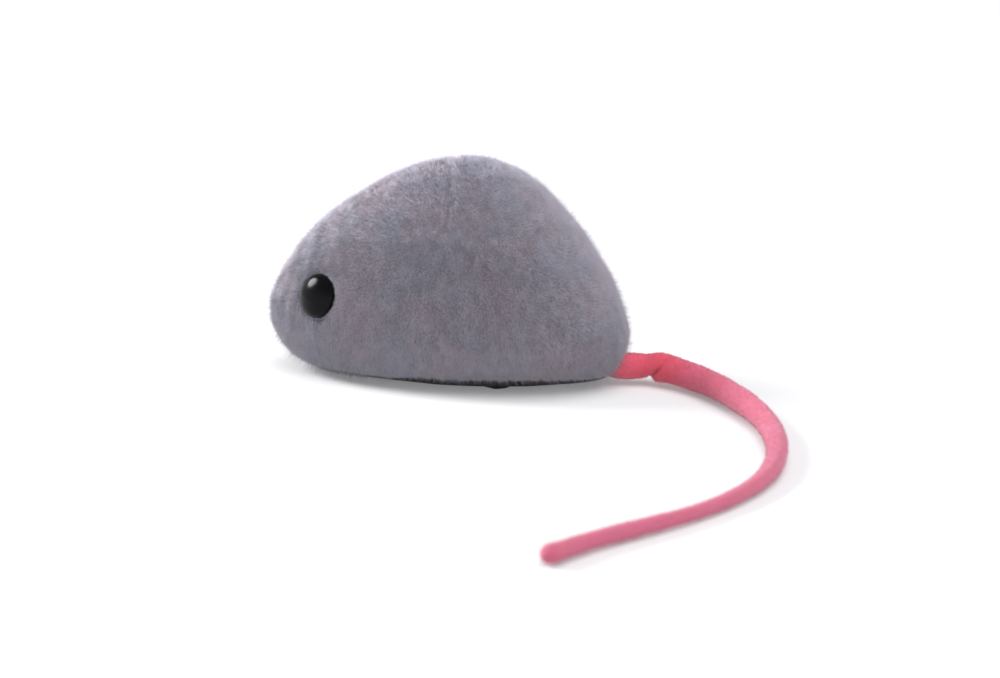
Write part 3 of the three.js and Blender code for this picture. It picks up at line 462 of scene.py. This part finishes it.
def plastic_material(name, dark, light, roughness, grain=0.25 * MM):
    """Moulded plastic or rubber with a fine grain and worn patches."""
    material, tree, shader = new_material(name, Roughness=roughness)
    shader.inputs["Specular IOR Level"].default_value = 0.25
    speckle = noise_of(tree, object_coordinates(tree), grain, 4, 0.6)
    wear = noise_of(tree, object_coordinates(tree), 6 * MM, 3)
    tree.links.new(ramp(tree, wear, (0.35, dark), (0.7, light)), shader.inputs["Base Color"])
    finish = ramp(tree, speckle, (0.3, grey(roughness - 0.08)), (0.7, grey(roughness + 0.1)))
    tree.links.new(finish, shader.inputs["Roughness"])
    bumped(tree, shader, speckle, 0.25, 0.02 * MM)
    return material


def metal_material(name, dark, light, roughness, brushed=(1, 14, 1)):
    """Metal with brushed lines, drawn out as brushed says, and faint stains."""
    material, tree, shader = new_material(name, Metallic=1.0, Roughness=roughness)
    lines = noise_of(tree, object_coordinates(tree, brushed), 0.8 * MM, 4, 0.65)
    stain = noise_of(tree, object_coordinates(tree), 5 * MM, 3)
    tree.links.new(ramp(tree, stain, (0.3, dark), (0.7, light)), shader.inputs["Base Color"])
    finish = ramp(tree, lines, (0.3, grey(roughness - 0.08)), (0.7, grey(roughness + 0.14)))
    tree.links.new(finish, shader.inputs["Roughness"])
    bumped(tree, shader, lines, 0.12, 0.01 * MM)
    return material


def cad_materials():
    """The material for each slot whose nodes are shown as the CAD has them."""
    looks = {
        "shell": (plastic_material, rgb(0.05, 0.05, 0.055), rgb(0.08, 0.08, 0.085), 0.5),
        "black_plastic": (plastic_material, rgb(0.002, 0.002, 0.003), rgb(0.005, 0.0045, 0.006), 0.5),
        "steel": (metal_material, rgb(0.48, 0.49, 0.51), rgb(0.66, 0.67, 0.68), 0.3),
        "spring_steel": (metal_material, rgb(0.10, 0.13, 0.19), rgb(0.2, 0.22, 0.27), 0.28),
        "brass": (metal_material, rgb(0.55, 0.36, 0.11), rgb(0.75, 0.53, 0.2), 0.26, (6, 6, 6)),
        "rubber": (plastic_material, rgb(0.005, 0.005, 0.005), rgb(0.01, 0.0095, 0.01), 0.78, 0.15 * MM),
        "nylon": (plastic_material, rgb(0.62, 0.59, 0.5), rgb(0.76, 0.73, 0.65), 0.45),
    }
    return {slot: make(slot, *values) for slot, (make, *values) in looks.items()}


def put_on(obj, *materials):
    obj.data.materials.clear()
    for material in materials:
        obj.data.materials.append(material)


# ---------------------------------------------------------------- CAD nodes that stay

def dress_cad_nodes():
    """Each CAD node gets its slot's material, smooth shading and slightly broken edges."""
    materials = cad_materials()
    slots = {row["node"]: row["material_slot"] for row in frame["record"]["subparts"]}
    for name, obj in frame["nodes"].items():
        if slots[name] not in materials:
            continue
        put_on(obj, materials[slots[name]])
        shade_smooth(obj)
        weld = obj.modifiers.new("weld", "WELD")
        weld.merge_threshold = BROKEN_EDGE["weld"]
        bevel = obj.modifiers.new("edges", "BEVEL")
        bevel.width, bevel.segments = BROKEN_EDGE["width"], BROKEN_EDGE["segments"]
        bevel.limit_method, bevel.angle_limit = "ANGLE", BROKEN_EDGE["crease"]
        weighted = obj.modifiers.new("normals", "WEIGHTED_NORMAL")
        weighted.keep_sharp = True
        weighted.weight = BROKEN_EDGE["face_weight"]


# ---------------------------------------------------------------- eyes

def eye_seat(side):
    """Centre of the eye's rim, its axis, the dome's radius and the dome's height."""
    name = f"eye_{side}"
    centre, axis = axis_of_turned(name, body_middle())
    along, around = along_and_around(node_points(name), centre, axis)
    radius = around.max()
    rim = along[around > radius * EYE["rim"]].min()
    return centre + axis * rim, axis, radius, along.max() - rim


def turned_piece(name, profile, centre, axis, segments):
    """A solid of revolution from (radius, height) points that start and end on the axis."""
    helper = np.array([0.0, 0.0, 1.0]) if abs(axis[2]) < 0.9 else np.array([1.0, 0.0, 0.0])
    side = unit(np.cross(axis, helper))
    other = np.cross(axis, side)
    inner = profile[1:-1]
    angles = np.linspace(0, 2 * math.pi, segments, endpoint=False)
    ring = np.cos(angles)[:, None] * side + np.sin(angles)[:, None] * other
    vertices = [centre + axis * profile[0][1], centre + axis * profile[-1][1]]
    for r, h in inner:
        vertices.extend(centre + axis * h + ring * r)
    j = np.arange(segments)
    k = (j + 1) % segments
    last = 2 + (len(inner) - 1) * segments
    fans = [np.stack([np.zeros_like(j), 2 + k, 2 + j], 1),
            np.stack([np.ones_like(j), last + j, last + k], 1)]
    walls = []
    for i in range(len(inner) - 1):
        lower = 2 + i * segments
        upper = lower + segments
        walls.append(np.stack([lower + j, lower + k, upper + k, upper + j], 1))
    return mesh_object(name, np.array(vertices), np.concatenate(fans), np.concatenate(walls))


def eye(side, material):
    """A bead eye: a stem, a flat back, a thin edge and a dome."""
    centre, axis, radius, height = eye_seat(side)
    stem, stem_end = radius * EYE["stem"], -EYE["stem_depth"]
    back = -EYE["back_depth"]
    profile = [(0, stem_end), (stem, stem_end), (stem, back), (radius * EYE["back"], back),
               (radius, -EYE["edge_depth"])]
    for i in range(EYE["dome_steps"]):
        a = i / EYE["dome_steps"] * math.pi / 2
        profile.append((radius * math.cos(a), height * math.sin(a) ** EYE["dome_power"]))
    profile.append((0, height))
    piece = turned_piece(f"bead_eye_{side}", profile, centre, axis, EYE["segments"])
    put_on(piece, material)
    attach(piece, "chassis")
    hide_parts(f"eye_{side}")


# ---------------------------------------------------------------- plush cover

def cover_blank():
    """The CAD cover's outside without its holes, as an even, smooth mesh."""
    shape = bmesh.new()
    for p in np.unique(node_points("plush_cover").round(7), axis=0):
        shape.verts.new(p)
    hull = bmesh.ops.convex_hull(shape, input=shape.verts[:])
    spare = {v for key in ("geom_interior", "geom_unused") for v in hull[key]
             if isinstance(v, bmesh.types.BMVert)}
    bmesh.ops.delete(shape, geom=list(spare), context="VERTS")
    mesh = bpy.data.meshes.new("plush_skin")
    shape.to_mesh(mesh)
    shape.free()
    obj = link(bpy.data.objects.new("plush_skin", mesh))
    cover = BVHTree.FromPolygons([v.co for v in mesh.vertices], [p.vertices for p in mesh.polygons])
    remesh = obj.modifiers.new("even", "REMESH")
    remesh.mode, remesh.voxel_size, remesh.use_smooth_shade = "VOXEL", SKIN["voxel"], True
    applied(obj)
    edges = edges_of(obj)
    points = relaxed(points_of(obj), edges, SKIN["smooth"])
    points = np.array([cover.find_nearest(p)[0] for p in points])
    set_points(obj, relaxed(points, edges, SKIN["settle"]))
    return obj


def dart_share(points):
    """1 on the seam over the crown, falling to 0 at its sides and at its lower ends."""
    across = points[:, 0] - DART["x"] - DART["slant"] * np.abs(points[:, 1])
    across += sum(sway * np.sin(points[:, 2] / height) for sway, height in DART_SWAYS)
    groove = np.exp(-((across / DART["width"]) ** 2))
    return groove * smoothstep((points[:, 2] - DART["low"]) / DART["fade"])


def eye_distance(points, side):
    """Distance from the eye's axis for points beside it, far for the others, and the eye's radius."""
    centre, axis, radius, _ = eye_seat(side)
    along, around = along_and_around(points, centre, axis)
    far = 1.0
    return np.where(np.abs(along) < EYE["side"], around, far), radius


def tuck_share(points, side):
    """1 along the tuck under the eye, falling to 0 round it."""
    centre, axis, _, _ = eye_seat(side)
    down = unit(-np.array([0, 0, 1.0]) + axis * axis[2])
    across = np.cross(axis, down)
    offsets = points - centre
    below, beside = offsets @ down, offsets @ across
    from_start, to_end = below - TUCK["start"], TUCK["end"] - below
    ends = smoothstep(from_start / TUCK["fade"]) * smoothstep(to_end / TUCK["fade"])
    near = np.abs(offsets @ axis) < TUCK["reach"]
    return near * ends * np.exp(-(((beside - TUCK["shift"]) / TUCK["width"]) ** 2))


def feature_depth(points):
    """How far sewing and glueing hold the skin in, in metres."""
    depth = DART["depth"] * dart_share(points)
    for side in SIDES:
        depth += TUCK["depth"] * tuck_share(points, side)
        around, radius = eye_distance(points, side)
        outside = np.maximum(around - radius * EYE_DIMPLE["from"], 0)
        depth += EYE_DIMPLE["depth"] * np.exp(-((outside / EYE_DIMPLE["reach"]) ** 2))
    return depth


def inflate(obj, held):
    """Puffs the skin as cloth between the places where it is held, with each point's travel capped."""
    start = points_of(obj)
    set_points(obj, start * CLOTH["scale"])
    group = obj.vertex_groups.new(name="held")
    step = 1 / CLOTH["pin_steps"]
    for number in range(1, CLOTH["pin_steps"] + 1):
        weight = number * step
        indices = np.flatnonzero((held > weight - step) & (held <= weight + 1e-9))
        if len(indices):
            group.add(indices.tolist(), weight, "REPLACE")
    cloth = obj.modifiers.new("cloth", "CLOTH")
    settings = cloth.settings
    settings.quality = CLOTH["quality"]
    settings.mass = CLOTH["mass"]
    settings.tension_stiffness = settings.compression_stiffness = CLOTH["stretch"]
    settings.shear_stiffness = CLOTH["shear"]
    settings.bending_stiffness = CLOTH["bending"]
    settings.use_pressure = True
    settings.uniform_pressure_force = CLOTH["pressure"]
    settings.vertex_group_mass = group.name
    settings.pin_stiffness = 1.0
    settings.effector_weights.gravity = 0
    cloth.collision_settings.use_collision = False
    cloth.point_cache.frame_start, cloth.point_cache.frame_end = 1, CLOTH["frames"]
    for number in range(1, CLOTH["frames"] + 1):
        bpy.context.scene.frame_set(number)
    applied(obj)
    moved = points_of(obj) / CLOTH["scale"] - start
    length = np.linalg.norm(moved, axis=1, keepdims=True)
    moved *= np.minimum(1, CLOTH["cap"] / np.maximum(length, 1e-9))
    set_points(obj, start + moved)
    bpy.context.scene.frame_set(1)
    obj.vertex_groups.clear()


def cut_openings(obj):
    """Opens the skin's underside inside its turned-in hem, and the hole for the arbor."""
    arbor = Vector(joint("key_wind")["pos_m"])
    base_low, base_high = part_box("base_plate")
    middle_x = (base_low.x + base_high.x) / 2
    half_x = (base_high.x - base_low.x) / 2 - OPENING["hem_inset"]
    half_y = (base_high.y - base_low.y) / 2 - OPENING["hem_inset"]
    shape = bmesh.new()
    shape.from_mesh(obj.data)
    doomed = []
    for face in shape.faces:
        c = face.calc_center_median()
        inside_base = ((c.x - middle_x) / half_x) ** 2 + (c.y / half_y) ** 2 < 1
        under = face.normal.z < OPENING["facing"] and c.z < base_high.z and inside_base
        at_arbor = c.y > 0 and math.hypot(c.x - arbor.x, c.z - arbor.z) < OPENING["arbor"]
        if under or at_arbor:
            doomed.append(face)
    bmesh.ops.delete(shape, geom=doomed, context="FACES")
    shape.to_mesh(obj.data)
    shape.free()


def hem_height(x):
    """Height of the cover's lower edge at each x."""
    points = node_points("plush_cover")
    rim = points[points[:, 2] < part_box("base_plate")[1].z]
    places = np.linspace(rim[:, 0].min(), rim[:, 0].max(), HEM["places"])
    near = [rim[np.abs(rim[:, 0] - place) < HEM["reach"], 2] for place in places]
    known = [i for i, heights in enumerate(near) if len(heights)]
    return np.interp(x, places[known], [near[i].min() for i in known])


def plush_skin(material):
    """The velvet's backing, puffed as cloth between the places where it is sewn or glued."""
    obj = cover_blank()
    points = points_of(obj)
    hem = hem_height(points[:, 0])
    points[:, 2] = np.maximum(points[:, 2], hem)
    set_points(obj, points)
    held_in = feature_depth(points)
    set_points(obj, points - normals_of(obj) * (SKIN["depth"] + held_in)[:, None])
    above_hem = (points[:, 2] - hem - HELD["above_hem"]) / HELD["fade"]
    held = np.maximum(held_in / HELD["depth"], 1 - smoothstep(above_hem))
    inflate(obj, np.clip(held, 0, 1))
    points = points_of(obj)
    puckers = sum(depth * field(points, breadth, offset) for depth, breadth, offset in PUCKERS)
    set_points(obj, points + normals_of(obj) * puckers[:, None])
    cut_openings(obj)
    shade_smooth(obj)
    put_on(obj, material)
    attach(obj, "chassis")
    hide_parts("plush_cover")
    return obj


def scattered(obj, count, rng):
    """Random points on the mesh, even by area, with their smooth normals."""
    mesh = obj.data
    mesh.calc_loop_triangles()
    corners = np.empty(len(mesh.loop_triangles) * 3, np.int32)
    mesh.loop_triangles.foreach_get("vertices", corners)
    corners = corners.reshape(-1, 3)
    points, normals = points_of(obj), normals_of(obj)
    a, b, c = (points[corners[:, k]] for k in range(3))
    area = np.linalg.norm(np.cross(b - a, c - a), axis=1)
    chosen = rng.choice(len(corners), count, p=area / area.sum())
    u, v = rng.random(count), rng.random(count)
    flip = u + v > 1
    u[flip], v[flip] = 1 - u[flip], 1 - v[flip]
    weights = np.stack([1 - u - v, u, v], 1)[:, :, None]
    where = (points[corners[chosen]] * weights).sum(1)
    return where, unit((normals[corners[chosen]] * weights).sum(1))


def pile(skin, material):
    """The velvety pile: eight panels of short closed fibres that lean back and down, in uneven clumps."""
    rng = np.random.default_rng(RNG_SEED)
    roots, normals = scattered(skin, PILE["count"], rng)
    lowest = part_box("plush_cover")[0].z
    keep = (normals[:, 2] > BARE["facing"]) | (roots[:, 2] > lowest + BARE["height"])
    for side in SIDES:
        around, radius = eye_distance(roots, side)
        keep &= around > radius * BARE["eye"]
    roots, normals = roots[keep], normals[keep]
    nap = np.array(PILE["nap"])
    lie = unit(nap - (normals @ nap)[:, None] * normals + 1e-6)
    across = np.cross(normals, lie)
    drawn_out = roots * DRAWN_OUT
    clump = field(drawn_out, *CLUMP)
    swirl = field(drawn_out, *SWIRL)
    tuft = field(roots, *TUFT)
    n = len(roots)
    stray = rng.random(n) < STRAY["share"]
    leans = PILE["lean"] + LEAN_SPREAD["clump"] * clump + LEAN_SPREAD["tuft"] * tuft
    leans = np.radians(leans + rng.normal(0, LEAN_SPREAD["fibre"], n))
    sideways = TURN_SPREAD["swirl"] * swirl + rng.normal(0, TURN_SPREAD["fibre"], n)
    flat = lie + across * sideways[:, None]
    for side in SIDES:
        around, radius = eye_distance(roots, side)
        stray &= around > radius + STRAY["eye_gap"]
        centre, _, _, _ = eye_seat(side)
        towards = centre - roots
        towards = unit(towards - (towards * normals).sum(1)[:, None] * normals)
        near_eye = np.exp(-((np.maximum(around - radius, 0) / COMBED["reach"]) ** 2))
        flat += COMBED["share"] * towards * near_eye[:, None]
    flat = unit(flat)
    leans[stray] *= STRAY["lean"]
    directions = unit(normals * np.cos(leans)[:, None] + flat * np.sin(leans)[:, None])
    lengths = 1 + LENGTH_SPREAD["clump"] * clump + LENGTH_SPREAD["fibre"] * rng.standard_normal(n)
    lengths *= PILE["length"] * (1 - LENGTH_SPREAD["at_seam"] * dart_share(roots))
    lengths = np.clip(lengths, PILE["shortest"], PILE["longest"])
    shortest, longest = STRAY["length"]
    lengths[stray] *= shortest + (longest - shortest) * rng.random(stray.sum()) ** 2
    thinnest, spread = WIDTH_SPREAD
    widths = PILE["root"] * (thinnest + spread * rng.random(n))
    widths[stray] *= STRAY["width"]
    starts = roots - normals * PILE["sunk"]
    left = roots[:, 1] < 0
    quarter = np.searchsorted(np.quantile(roots[:, 0], (0.25, 0.5, 0.75)), roots[:, 0])
    panels = {f"{place}_{side}": (quarter == number) & flank
              for number, place in enumerate(("nose", "cheek", "back", "rump"))
              for side, flank in (("left", left), ("right", ~left))}
    for panel, chosen in panels.items():
        fibres = spikes(starts[chosen], directions[chosen], lengths[chosen], widths[chosen])
        vertices, triangles, outward = fibres
        piece = mesh_object(f"plush_pile_{panel}", vertices, triangles)
        # Fine fibres shade together, so they take most of the skin's own direction.
        shared = np.repeat(normals[chosen], CORNERS_OF_SPIKE, axis=0)
        piece.data.normals_split_custom_set_from_vertices(unit(shared * PILE["shared"] + outward))
        put_on(piece, material)
        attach(piece, "chassis")
        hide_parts("plush_cover")


# ---------------------------------------------------------------- tail

def section(points, edges, at, heading):
    """Middle and mean radius of the cord where a plane through at cuts it."""
    a, b = points[edges[:, 0]], points[edges[:, 1]]
    da, db = (a - at) @ heading, (b - at) @ heading
    crossing = da * db < 0
    t = (da[crossing] / (da[crossing] - db[crossing]))[:, None]
    cuts = a[crossing] * (1 - t) + b[crossing] * t
    cuts = cuts[np.linalg.norm(cuts - at, axis=1) < FOLLOW["reach"]]
    if len(cuts) < FOLLOW["fewest"]:
        return None
    low, high = cuts.min(0), cuts.max(0)
    middle = (cuts.mean(0) + (low + high) / 2) / 2
    return middle, np.linalg.norm(cuts - middle, axis=1).mean()


def followed(name, start, heading, stride):
    """The cord's centreline and radius, found by stepping along a CAD cord from start."""
    points, edges = node_points(name), node_edges(name)
    found = []
    at, heading = np.array(start, float), unit(np.array(heading, float))
    for _ in range(FOLLOW["most"]):
        hit = section(points, edges, at, heading)
        if hit is None:
            break
        middle, radius = hit
        if found and radius < FOLLOW["thinner"] * found[-1][1]:
            break
        if found:
            heading = unit(middle - found[-1][0])
        found.append((middle, radius))
        at = middle + heading * stride
    return found


def resampled(points, values, step):
    """A smooth curve through points, evenly stepped, with values carried along."""
    points, values = np.array(points), np.array(values)
    for _ in range(TAIL["smooth"]):
        mid = points.copy()
        mid[1:-1] = points[1:-1] * 0.5 + (points[:-2] + points[2:]) * 0.25
        points = mid
    knots = length_along(points)
    fine = np.linspace(0, knots[-1], int(knots[-1] / step) + 1)
    padded = np.vstack([2 * points[0] - points[1], points, 2 * points[-1] - points[-2]])
    segment = np.clip(np.searchsorted(knots, fine, side="right") - 1, 0, len(points) - 2)
    t = ((fine - knots[segment]) / (knots[segment + 1] - knots[segment]))[:, None]
    p0, p1, p2, p3 = (padded[segment + k] for k in range(4))
    curve = 0.5 * (2 * p1 + (p2 - p0) * t + (2 * p0 - 5 * p1 + 4 * p2 - p3) * t**2
                   + (3 * p1 - p0 - 3 * p2 + p3) * t**3)
    return curve, np.interp(fine, knots, values)


def tail_line():
    """The cord's centreline and radii from inside the rump to the tip, and the kink's place in them."""
    low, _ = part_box("tail_root")
    kink = np.array(joint("tail_bend")["pos_m"])
    root_points = node_points("tail_root")
    inner_end = root_points[root_points[:, 0] < low.x + FOLLOW["end_depth"]].mean(0)
    start = inner_end + np.array([FOLLOW["from_end"], 0, 0])
    root = followed("tail_root", start, FOLLOW["root_heading"], FOLLOW["root_stride"])
    free_points = node_points("tail_free")
    from_kink = np.linalg.norm(free_points - kink, axis=1)
    nearest, furthest = FOLLOW["ahead"]
    heading = unit(free_points[(from_kink > nearest) & (from_kink < furthest)].mean(0) - kink)
    free = followed("tail_free", kink + heading * FOLLOW["from_kink"], heading, FOLLOW["stride"])
    line = [p for p, _ in root] + [kink] + [p for p, _ in free]
    radii = [r for _, r in root] + [free[0][1]] + [r for _, r in free]
    tip = free_points[np.argmin(free_points[:, 1])]
    to_tip = max(np.linalg.norm(tip - line[-1]) - FOLLOW["short_of_tip"], FOLLOW["least_to_tip"])
    line.append(line[-1] + unit(line[-1] - line[-2]) * to_tip)
    radii.append(radii[-1])
    return line, radii, len(root)


def fuzz_height(past):
    """How far the felt's fuzz stands at each distance past the kink."""
    return FUZZ["root_nap"] + (FUZZ["nap"] - FUZZ["root_nap"]) * smoothstep(past / FUZZ["nap_grows"])


def lowered(curve, past):
    """The centreline let down by the fuzz's height, and by its droop between the rump and the kink."""
    curve = curve.copy()
    curve[:, 2] -= fuzz_height(past) - FUZZ["root_nap"]
    curve[:, 2] -= TAIL["sag"] * np.exp(-(((past - TAIL["sag_at"]) / TAIL["sag_reach"]) ** 2))
    return curve


def tail_rings(curve, along, radius, past, travelled):
    """Rings of points round the cord, with its fold, lip and lumps. It rests on the floor."""
    side = unit(np.cross(along, [0, 0, 1]))
    above = np.cross(side, along)
    angles = np.linspace(0, 2 * math.pi, TAIL["sides"], endpoint=False)
    cos, sin = np.cos(angles)[None, :], np.sin(angles)[None, :]
    # cos is 1 on the inside of the bend, and sin is 1 on top.
    from_fold = past[:, None] - KINK["past"] - KINK["slant"] * sin
    fold = np.exp(-((from_fold / KINK["width"]) ** 2))
    middle, fade = KINK["fades_upwards"]
    below_top = smoothstep(middle - fade * sin)
    inside = KINK["outside"] + (1 - KINK["outside"]) * smoothstep(0.5 + 0.5 * cos)
    crease = KINK["depth"] * fold * below_top * inside
    lip = KINK["lip"] * np.exp(-(((from_fold - KINK["lip_at"]) / KINK["lip_width"]) ** 2)) * below_top
    lumps = 1 + sum(share * np.sin(travelled / length + phase) for share, length, phase in LUMPS)
    flat = 1 - TAIL["flatter_below"] * smoothstep(-sin)
    r = radius[:, None] * lumps[:, None] * flat - crease + lip
    ring = cos[:, :, None] * side[:, None, :] + sin[:, :, None] * above[:, None, :]
    rings = curve[:, None, :] + r[:, :, None] * ring
    rings[:, :, 2] = np.maximum(rings[:, :, 2], floor_height() + TAIL["clearance"])
    return rings


def tail(material):
    """One felt cord over both CAD pieces of the tail, which bends where they join."""
    line, radii, at_kink = tail_line()
    curve, radius = resampled(line, radii, TAIL["step"])
    kink = np.array(line[at_kink])
    travelled = length_along(curve)
    past = travelled - travelled[np.argmin(np.linalg.norm(curve - kink, axis=1))]
    left = travelled[-1] - travelled
    # The tip is rounded, but never quite to nothing.
    rounding = np.sqrt(np.clip(1 - np.clip(1 - left / radius, 0, 1) ** 2, TAIL["least_tip"], 1))
    along = unit(np.gradient(curve, axis=0))
    curve = lowered(curve, past)
    rings = tail_rings(curve, along, (radius - fuzz_height(past)) * rounding, past, travelled)
    n, m = rings.shape[:2]
    vertices = np.vstack([rings.reshape(-1, 3), curve[:1], curve[-1:] + along[-1:] * TAIL["tip"]])
    i, j = np.meshgrid(np.arange(n - 1), np.arange(m), indexing="ij")
    k = (j + 1) % m
    quads = np.stack([i * m + j, (i + 1) * m + j, (i + 1) * m + k, i * m + k], -1).reshape(-1, 4)
    j = np.arange(m)
    k = (j + 1) % m
    first, last = n * m, n * m + 1
    fans = np.concatenate([np.stack([np.full(m, first), j, k], 1),
                           np.stack([np.full(m, last), (n - 1) * m + k, (n - 1) * m + j], 1)])
    cord = mesh_object("tail_cord", vertices, fans, quads)
    obj = joined_meshes("tail_cord", cord, felt_fuzz(cord))
    mark_lengthwise(obj, curve, past)
    put_on(obj, material)
    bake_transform(obj)
    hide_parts("tail_root", "tail_free")


def mark_lengthwise(obj, curve, past):
    """Stores how far along the stretch of tint and painted shade each point of the cord is, from 0 to 1."""
    start, end = TAIL["tint_and_shade"]
    nearest = KDTree(len(curve))
    for index, point in enumerate(curve):
        nearest.insert(point, index)
    nearest.balance()
    shares = [(past[nearest.find(v.co)[1]] - start) / (end - start) for v in obj.data.vertices]
    attribute = obj.data.attributes.new("lengthwise", "FLOAT", "POINT")
    attribute.data.foreach_set("value", np.clip(shares, 0, 1))


def felt_fuzz(obj):
    """Short tangled fibres over the cord, but none where it rests on the floor."""
    rng = np.random.default_rng(RNG_SEED + 1)
    roots, normals = scattered(obj, FUZZ["count"], rng)
    n = len(roots)
    directions = unit(normals + rng.normal(0, FUZZ["tangle"], (n, 3)))
    too_low = np.maximum(FUZZ["lift"] - (directions * normals).sum(1), 0)
    directions = unit(directions + normals * too_low[:, None])
    shortest, spread = FUZZ["length_spread"]
    lengths = FUZZ["length"] * (shortest + spread * rng.random(n))
    above = roots[:, 2] > floor_height() + FUZZ["floor_gap"]
    starts = roots - normals * FUZZ["sunk"]
    thinnest, spread = FUZZ["width_spread"]
    widths = FUZZ["root"] * (thinnest + spread * rng.random(above.sum()))
    vertices, triangles, _ = spikes(starts[above], directions[above], lengths[above], widths)
    return mesh_object("tail_fuzz", vertices, triangles, smooth=False)


def joined_meshes(name, *objects):
    """One object from several, whose own objects are removed."""
    shape = bmesh.new()
    for obj in objects:
        shape.from_mesh(obj.data)
        bpy.data.objects.remove(obj)
    mesh = bpy.data.meshes.new(name)
    shape.to_mesh(mesh)
    shape.free()
    return link(bpy.data.objects.new(name, mesh))


# ---------------------------------------------------------------- stage

def floor():
    half = FLOOR["half"]
    corners = np.array([[-half, -half, 0], [half, -half, 0], [half, half, 0], [-half, half, 0]])
    obj = mesh_object("floor", corners + [0, 0, floor_height()], quads=np.array([[0, 1, 2, 3]]))
    material, tree, shader = new_material("floor", Roughness=0.75)
    shader.inputs["Specular IOR Level"].default_value = 0.2
    # The table top is lit a little from below, so that shadows on it stay pale.
    shader.inputs["Emission Color"].default_value = rgb(0.98, 0.98, 1.0)
    shader.inputs["Emission Strength"].default_value = FLOOR["glow"]
    speck = noise_of(tree, object_coordinates(tree), FLOOR["speck"], 2)
    colour = ramp(tree, speck, (0.3, rgb(*FLOOR["dark"])), (0.7, rgb(*FLOOR["light"])))
    tree.links.new(colour, shader.inputs["Base Color"])
    put_on(obj, material)


def aimed(name, data, look):
    """A light or camera that looks at the aim from the look's azimuth and elevation, at its distance."""
    obj = link(bpy.data.objects.new(name, data))
    a, e = math.radians(look["azimuth"]), math.radians(look["elevation"])
    back = Vector((math.sin(a) * math.cos(e), -math.cos(a) * math.cos(e), math.sin(e)))
    obj.location = CAMERA["aim"] + back * look["distance"]
    obj.rotation_mode = "QUATERNION"
    obj.rotation_quaternion = (-back).to_track_quat("-Z", "Y")
    return obj


def area_light(name, look):
    light = bpy.data.lights.new(name, "AREA")
    light.shape, light.size, light.energy = "DISK", look["size"], look["power"]
    return aimed(name, light, look)


def sun_light(name, look):
    light = bpy.data.lights.new(name, "SUN")
    light.angle, light.energy = math.radians(look["spread"]), look["power"]
    return aimed(name, light, look)


def lights():
    # Only the key light shows in the eyes.
    sun_light("overhead_light", OVERHEAD_LIGHT).visible_glossy = False
    area_light("key_light", KEY_LIGHT)
    area_light("fill_light", FILL_LIGHT).visible_glossy = False
    world = bpy.data.worlds.new("studio")
    bpy.context.scene.world = world
    world.use_nodes = True
    tree = world.node_tree
    background = tree.nodes["Background"]
    where = node(tree, "ShaderNodeTexCoord")
    # A pale horizon under a darker ceiling.
    stops = ((height, rgb(*colour)) for height, colour in (STUDIO["horizon"], STUDIO["ceiling"]))
    colour = ramp(tree, separated(tree, where.outputs["Generated"])["Z"], *stops)
    tree.links.new(colour, background.inputs["Color"])
    background.inputs["Strength"].default_value = STUDIO["strength"]


def camera():
    data = bpy.data.cameras.new("camera")
    data.lens, data.sensor_width = CAMERA["lens"], CAMERA["sensor"]
    data.clip_start, data.clip_end = CAMERA["nearest"], CAMERA["furthest"]
    data.dof.use_dof = True
    # The base plate's object has its origin in the middle of the body.
    data.dof.focus_object = frame["nodes"]["base_plate"]
    data.dof.aperture_fstop = CAMERA["f_stop"]
    bpy.context.scene.camera = aimed("camera", data, CAMERA)


# ---------------------------------------------------------------- the mouse

bpy.context.scene.view_settings.view_transform = "Standard"
dress_cad_nodes()
skin = plush_skin(plush_material("plush_skin", rgb(0.27, 0.26, 0.29), rgb(0.36, 0.345, 0.385), 0.2))
pile(skin, plush_material("plush_pile", rgb(0.59, 0.568, 0.628), rgb(0.79, 0.764, 0.832), 0.6))
eye_look = eye_material()
for side in SIDES:
    eye(side, eye_look)
tail(felt_material())
floor()
lights()
camera()
